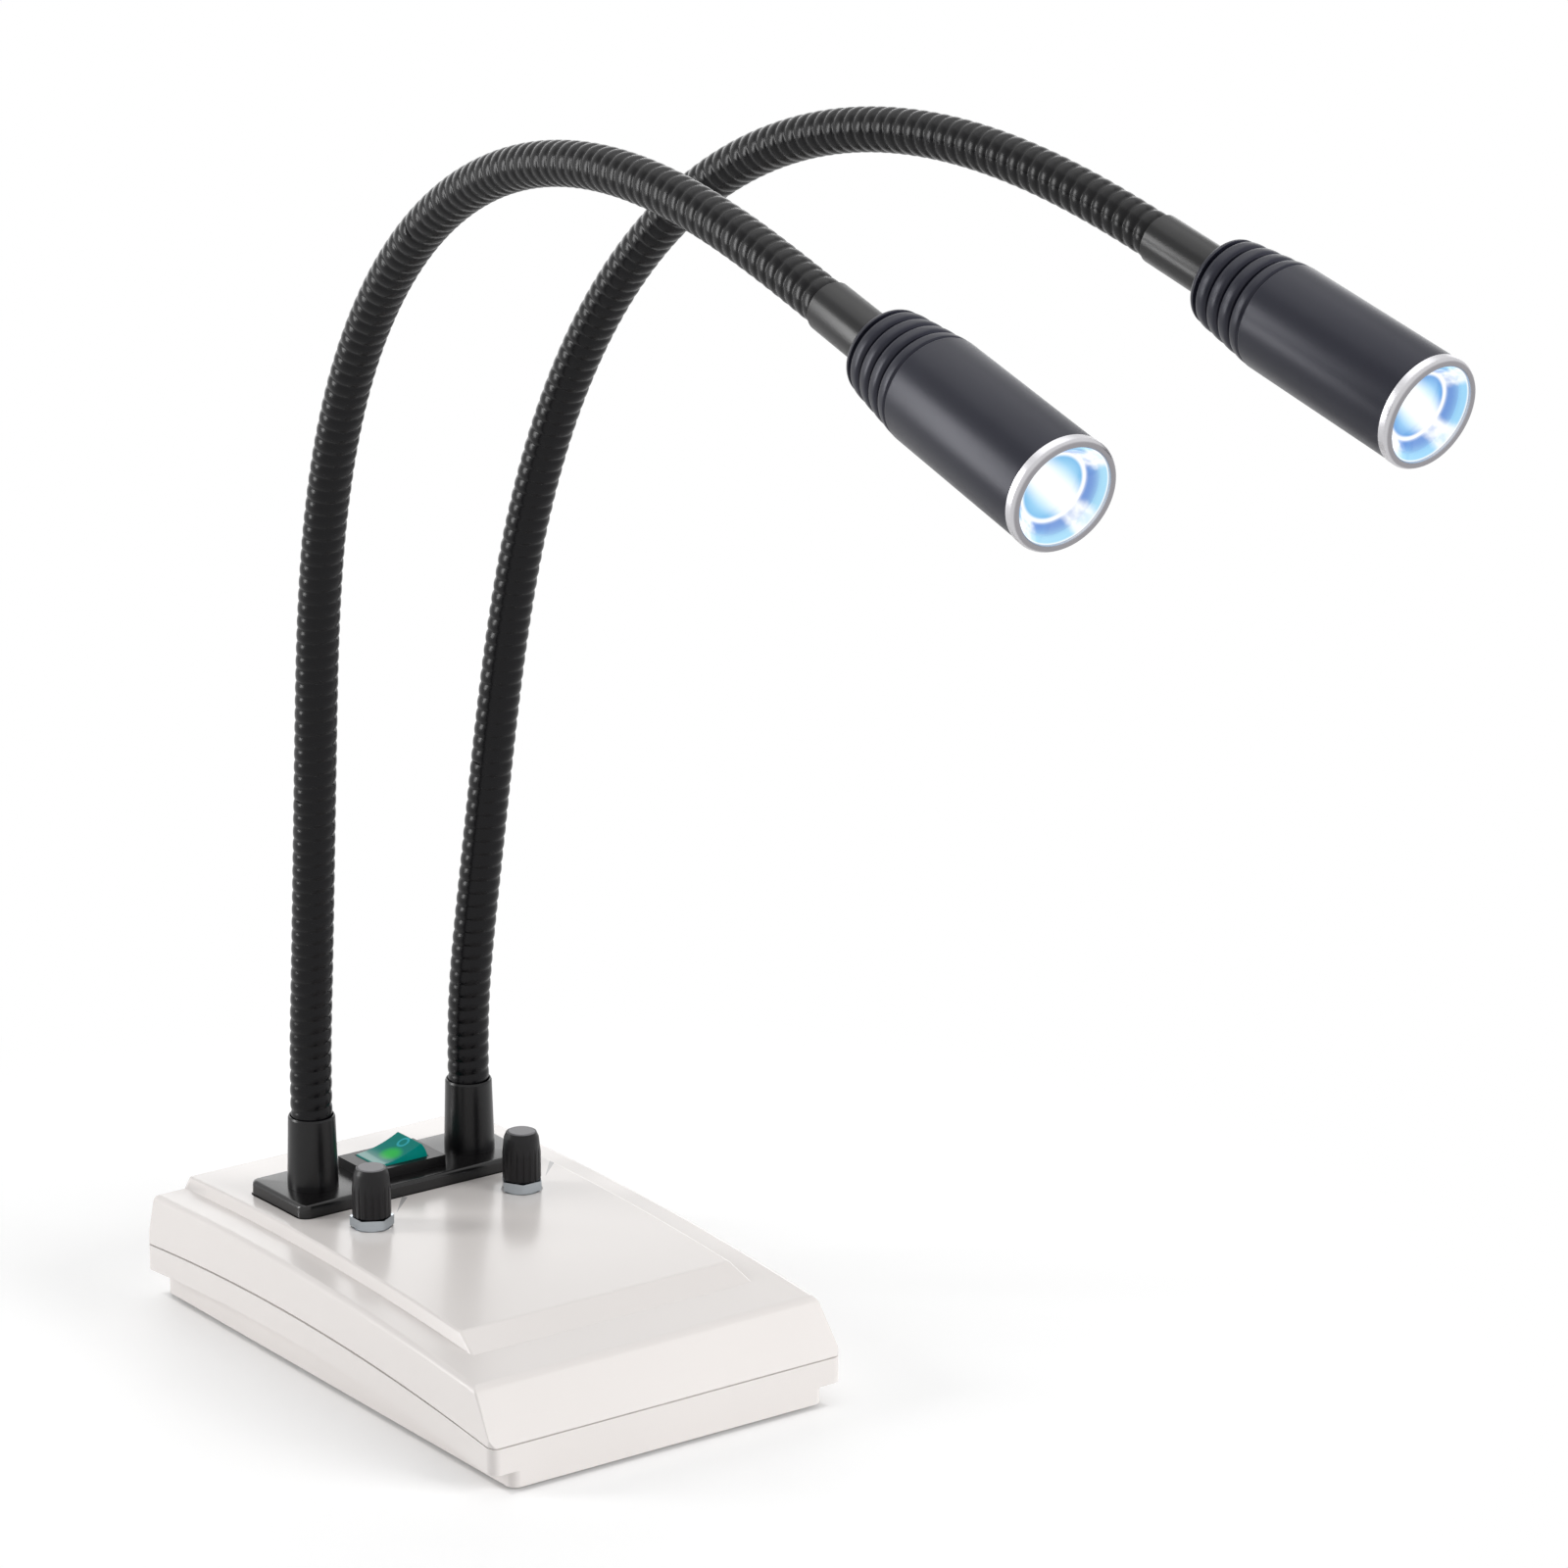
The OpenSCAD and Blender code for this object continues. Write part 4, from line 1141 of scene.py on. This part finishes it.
    def cap_outline(self) -> list[Point2]:
        """The finned cap: a rounded shoulder and fat round fins with narrow grooves."""
        rear, front = self.ferrule_len, self.ferrule_len + self.cap_len
        slope = (self.barrel_rear_radius - self.cap_rear_radius) / self.cap_len
        shoulder, inner = self.shoulder, self.neck_radius
        outline: list[Point2] = [(inner, rear)]
        for cos, sin in quarter(self.shoulder_steps):
            outline.append(
                (self.cap_rear_radius - shoulder + shoulder * sin, rear + shoulder * (1 - cos))
            )
        steps = self.fin_steps
        for i in range(steps * self.grooves):
            height = self.groove_first + i / steps * self.groove_pitch
            off = abs(2 * (i % steps) / steps - 1)
            swell = math.sqrt(1 - off**3)
            radius = self.cap_rear_radius + slope * height - self.groove_depth * (1 - swell)
            outline.append((radius, rear + height))
        for inset, back in (self.last_fin, self.cap_lip, (self.cap_lip[0], 0.0)):
            outline.append((self.barrel_rear_radius - inset, front - back))
        return [*outline, (inner, front)]

    def build(self, shop: Workshop) -> None:
        """Make the head's parts."""
        cap = self.ferrule_len
        barrel = cap + self.cap_len
        ring = barrel + self.barrel_len
        front = ring + self.ring_len
        bore = self.neck_radius
        outline = rounded(
            (bore, 0.0, 0.0),
            (self.ferrule_radius - self.ferrule_taper, 0.0, self.ferrule_round),
            (self.ferrule_radius, cap, 0.0),
            (bore, cap, 0.0),
        )
        self.add(shop, "ferrule", outline, "black_metal")
        self.add(shop, "finned_cap", self.cap_outline(), "head_black", crease=self.soft_crease)
        rear_round, front_round = self.barrel_rounds
        outline = rounded(
            (self.barrel_rear_radius - self.barrel_wall, barrel, 0.0),
            (self.barrel_rear_radius, barrel, rear_round),
            (self.barrel_radius, ring, front_round),
            (self.barrel_radius - self.barrel_wall, ring, 0.0),
        )
        self.add(shop, "barrel", outline, "head_black")
        bevel_in, bevel_back = self.ring_bevel
        lip_out, lip_back = self.ring_lip
        rear_round, bevel_round, front_round, lip_round = self.ring_rounds
        seat = front - self.lens_depth
        outline = rounded(
            (self.lens_radius, ring, 0.0),
            (self.ring_radius, ring, rear_round),
            (self.ring_radius, front - bevel_back, bevel_round),
            (self.ring_radius - bevel_in, front, front_round),
            (self.ring_open + lip_out, front, lip_round),
            (self.ring_open, front - lip_back, lip_round),
            (self.ring_open, seat, 0.0),
            (self.lens_radius, seat, 0.0),
            steps=4,
        )
        # The ring's lip plane; past it the ring's metal is painted darker, as painted shade.
        lip = (self.place @ Vector((0, 0, front - lip_back)), self.place.col[2].to_3d())
        metal = replace(FINISHES["ring_silver"], name=f"{self.pose.side}_ring_metal", lip=lip)
        self.add(shop, "front_ring", outline, "ring_silver", metal.material())
        self.build_lens(shop, seat)

    def build_lens(self, shop: Workshop, face: float) -> None:
        """Make the lit lens: a bowl round a low dome.

        Args:
            shop: makes the piece.
            face: height of the lens's front edge along the head's axis.
        """
        back_radius, back = self.lens_back
        flange_radius, flange = self.lens_flange
        edge = self.lens_radius - self.lens_gap
        floor = face - self.lens_wall
        sill, sill_rise = self.lens_sill
        dome_radius = self.lens_floor - self.lens_moat
        outline: list[Point2] = [
            (0.0, face - back),
            (back_radius, face - back),
            (flange_radius, face - flange),
            (edge, face - flange),
            (edge, face),
            (self.ring_open - self.lens_gap, face),
            (self.lens_floor + self.lens_foot, floor),
            (self.lens_floor + sill, floor + sill_rise),
        ]
        for k, (_, sin) in enumerate(quarter(self.lens_steps)):
            outline.append((dome_radius * (1 - k / self.lens_steps), floor + self.lens_dome * sin))
        across, upward, _ = self.pose.axes(NECK_LEN)
        glow = LensGlow(
            f"{self.pose.side}_lens_glow",
            axis=(self.place @ Vector((0, 0, face)), across, upward),
            radius=self.ring_open,
            floor_share=self.lens_floor / self.ring_open,
            blues=self.blues,
        )
        self.add(shop, "lens", outline, "lens", glow.material(), self.soft_crease)


@dataclass
class Softbox:
    """One soft studio lamp."""

    name: str
    spot: Vector
    aim: Vector
    width: float
    height: float
    watts: float
    mirrored: bool = True

    def build(self) -> None:
        """Hang the lamp; only some lamps are to show in glossy surfaces."""
        data = bpy.data.lights.new(self.name, "AREA")
        data.shape = "RECTANGLE"
        data.size, data.size_y = self.width, self.height
        data.energy = self.watts
        thing = link(self.name, data)
        thing.location = self.spot
        thing.rotation_mode = "QUATERNION"
        thing.rotation_quaternion = (self.aim - self.spot).to_track_quat("-Z", "Y")
        thing.visible_camera = False
        thing.visible_glossy = self.mirrored


@dataclass
class Studio:
    """White studio: camera, lamps, floor and background."""

    camera_spot: Vector = field(default_factory=lambda: Vector((-0.934386, -1.428384, 0.684272)))
    azimuth: float = -36.049
    pitch: float = 16.807
    focal_pixels: float = 6500.0
    image_pixels: float = 1600.0
    sensor: float = 36.0
    clip: Point2 = (0.05, 50.0)
    sky: float = 0.3
    painted_shade_footprint: Point2 = (52 * MM, 91 * MM)
    foot_blur: float = 3 * MM
    floor_half: float = 6.0
    floor_colour: Colour = grey(0.86)
    floor_roughness: float = 0.6
    floor_lift: Colour = grey(0.19)
    white_reach: Point2 = (0.08, 0.32)

    def build(self) -> None:
        """Set up everything round the object."""
        self.add_camera()
        self.add_lamps()
        self.add_floor()
        self.add_background()
        bpy.context.scene.view_settings.view_transform = "Standard"

    def add_camera(self) -> None:
        """Put the camera where the photograph was taken from."""
        data = bpy.data.cameras.new("camera")
        data.sensor_width = self.sensor
        data.lens = self.sensor * self.focal_pixels / self.image_pixels
        data.clip_start, data.clip_end = self.clip
        camera = link("camera", data)
        camera.location = self.camera_spot
        camera.rotation_euler = (math.radians(90 - self.pitch), 0.0, math.radians(self.azimuth))
        bpy.context.scene.camera = camera

    def add_lamps(self) -> None:
        """Hang the soft lamps."""
        aim = Vector((0, -0.05, 0.16))
        for lamp in (
            Softbox("lamp_rear_left", Vector((-1.2, 0.85, 0.55)), aim, 0.4, 1.0, 14),
            Softbox("lamp_rear", Vector((0.9, 1.25, 0.4)), aim, 2.4, 0.8, 6),
            Softbox("lamp_top", Vector((0.1, 0.2, 1.7)), aim, 1.4, 1.4, 5.6),
            Softbox("lamp_front", Vector((0.85, -1.55, 0.8)), aim, 1.0, 1.0, 26, mirrored=False),
        ):
            lamp.build()

    def add_floor(self) -> None:
        """Lay a pale floor that keeps the shadow, with painted shade under the base's footprint,
        and turns white away from the base.
        """
        half = self.floor_half
        corners = ((-half, -half), (half, -half), (half, half), (-half, half))
        mesh = mesh_from("floor", [Vector((x, y, 0.0)) for x, y in corners], [(0, 1, 2, 3)])
        floor = link("floor", mesh)
        graph = Graph(bpy.data.materials.new("floor_white"))
        seen = graph.seen()
        x, y = graph.plan()
        away = (x * x + y * y).maths("SQRT").step(*self.white_reach)
        # The lift and the white stay off under the base's footprint: painted shade along the base's
        # foot.
        past_x, past_y = (
            abs(part).step(edge, edge + self.foot_blur)
            for part, edge in zip((x, y), self.painted_shade_footprint)
        )
        beside = past_x.maths("MAXIMUM", past_y)
        inputs = {
            "Base Color": self.floor_colour,
            "Roughness": self.floor_roughness,
            "Emission Color": graph.mix(seen * beside, grey(0.0), self.floor_lift),
            "Emission Strength": 1.0,
        }
        near = graph.node("ShaderNodeBsdfPrincipled", inputs)
        white = graph.node("ShaderNodeEmission", {"Color": grey(1.0)})
        share = away * seen * beside
        blend = graph.node("ShaderNodeMixShader", {0: share, 1: near, 2: white})
        graph.add("ShaderNodeOutputMaterial", {"Surface": blend})
        mesh.materials.append(graph.owner)

    def add_background(self) -> None:
        """White where it is seen, softer where it lights."""
        world = bpy.data.worlds.new("studio_white")
        graph = Graph(world)
        level = graph.seen() * (1 - self.sky) + self.sky
        shade = graph.node("ShaderNodeBackground", {"Color": grey(1.0), "Strength": level})
        graph.add("ShaderNodeOutputWorld", {"Surface": shade})
        bpy.context.scene.world = world


class Arm(Enum):
    """The two arms, as they are bent in the photograph."""

    LEFT = ArmPose(
        "left", Vector((-SOCKET_X, PLATE_Y, SOCKET_TOP)), 6.1, 117 * MM, 489 * MM, 106.2, -1.4
    )
    RIGHT = ArmPose(
        "right", Vector((SOCKET_X, PLATE_Y, SOCKET_TOP)), 5.2, 89 * MM, 522 * MM, 108.0, 4.3
    )


LENS_BLUES = {
    Arm.LEFT: (rgb(160, 214, 240), rgb(96, 174, 224), rgb(96, 138, 206)),
    Arm.RIGHT: (rgb(146, 206, 240), rgb(58, 136, 210), rgb(88, 136, 206)),
}


def main() -> None:
    """Build the studio and every piece, in order."""
    logging.basicConfig(level=logging.INFO, format="%(name)s: %(message)s")
    Studio().build()
    shop = Workshop()
    shop.dress_nodes()
    Casing().build(shop)
    SwitchPlate().build(shop)
    Dimmers().build(shop)
    for arm in Arm:
        Gooseneck(arm.value).build(shop)
        LampHead(arm.value, LENS_BLUES[arm]).build(shop)


if __name__ == "__main__":
    main()
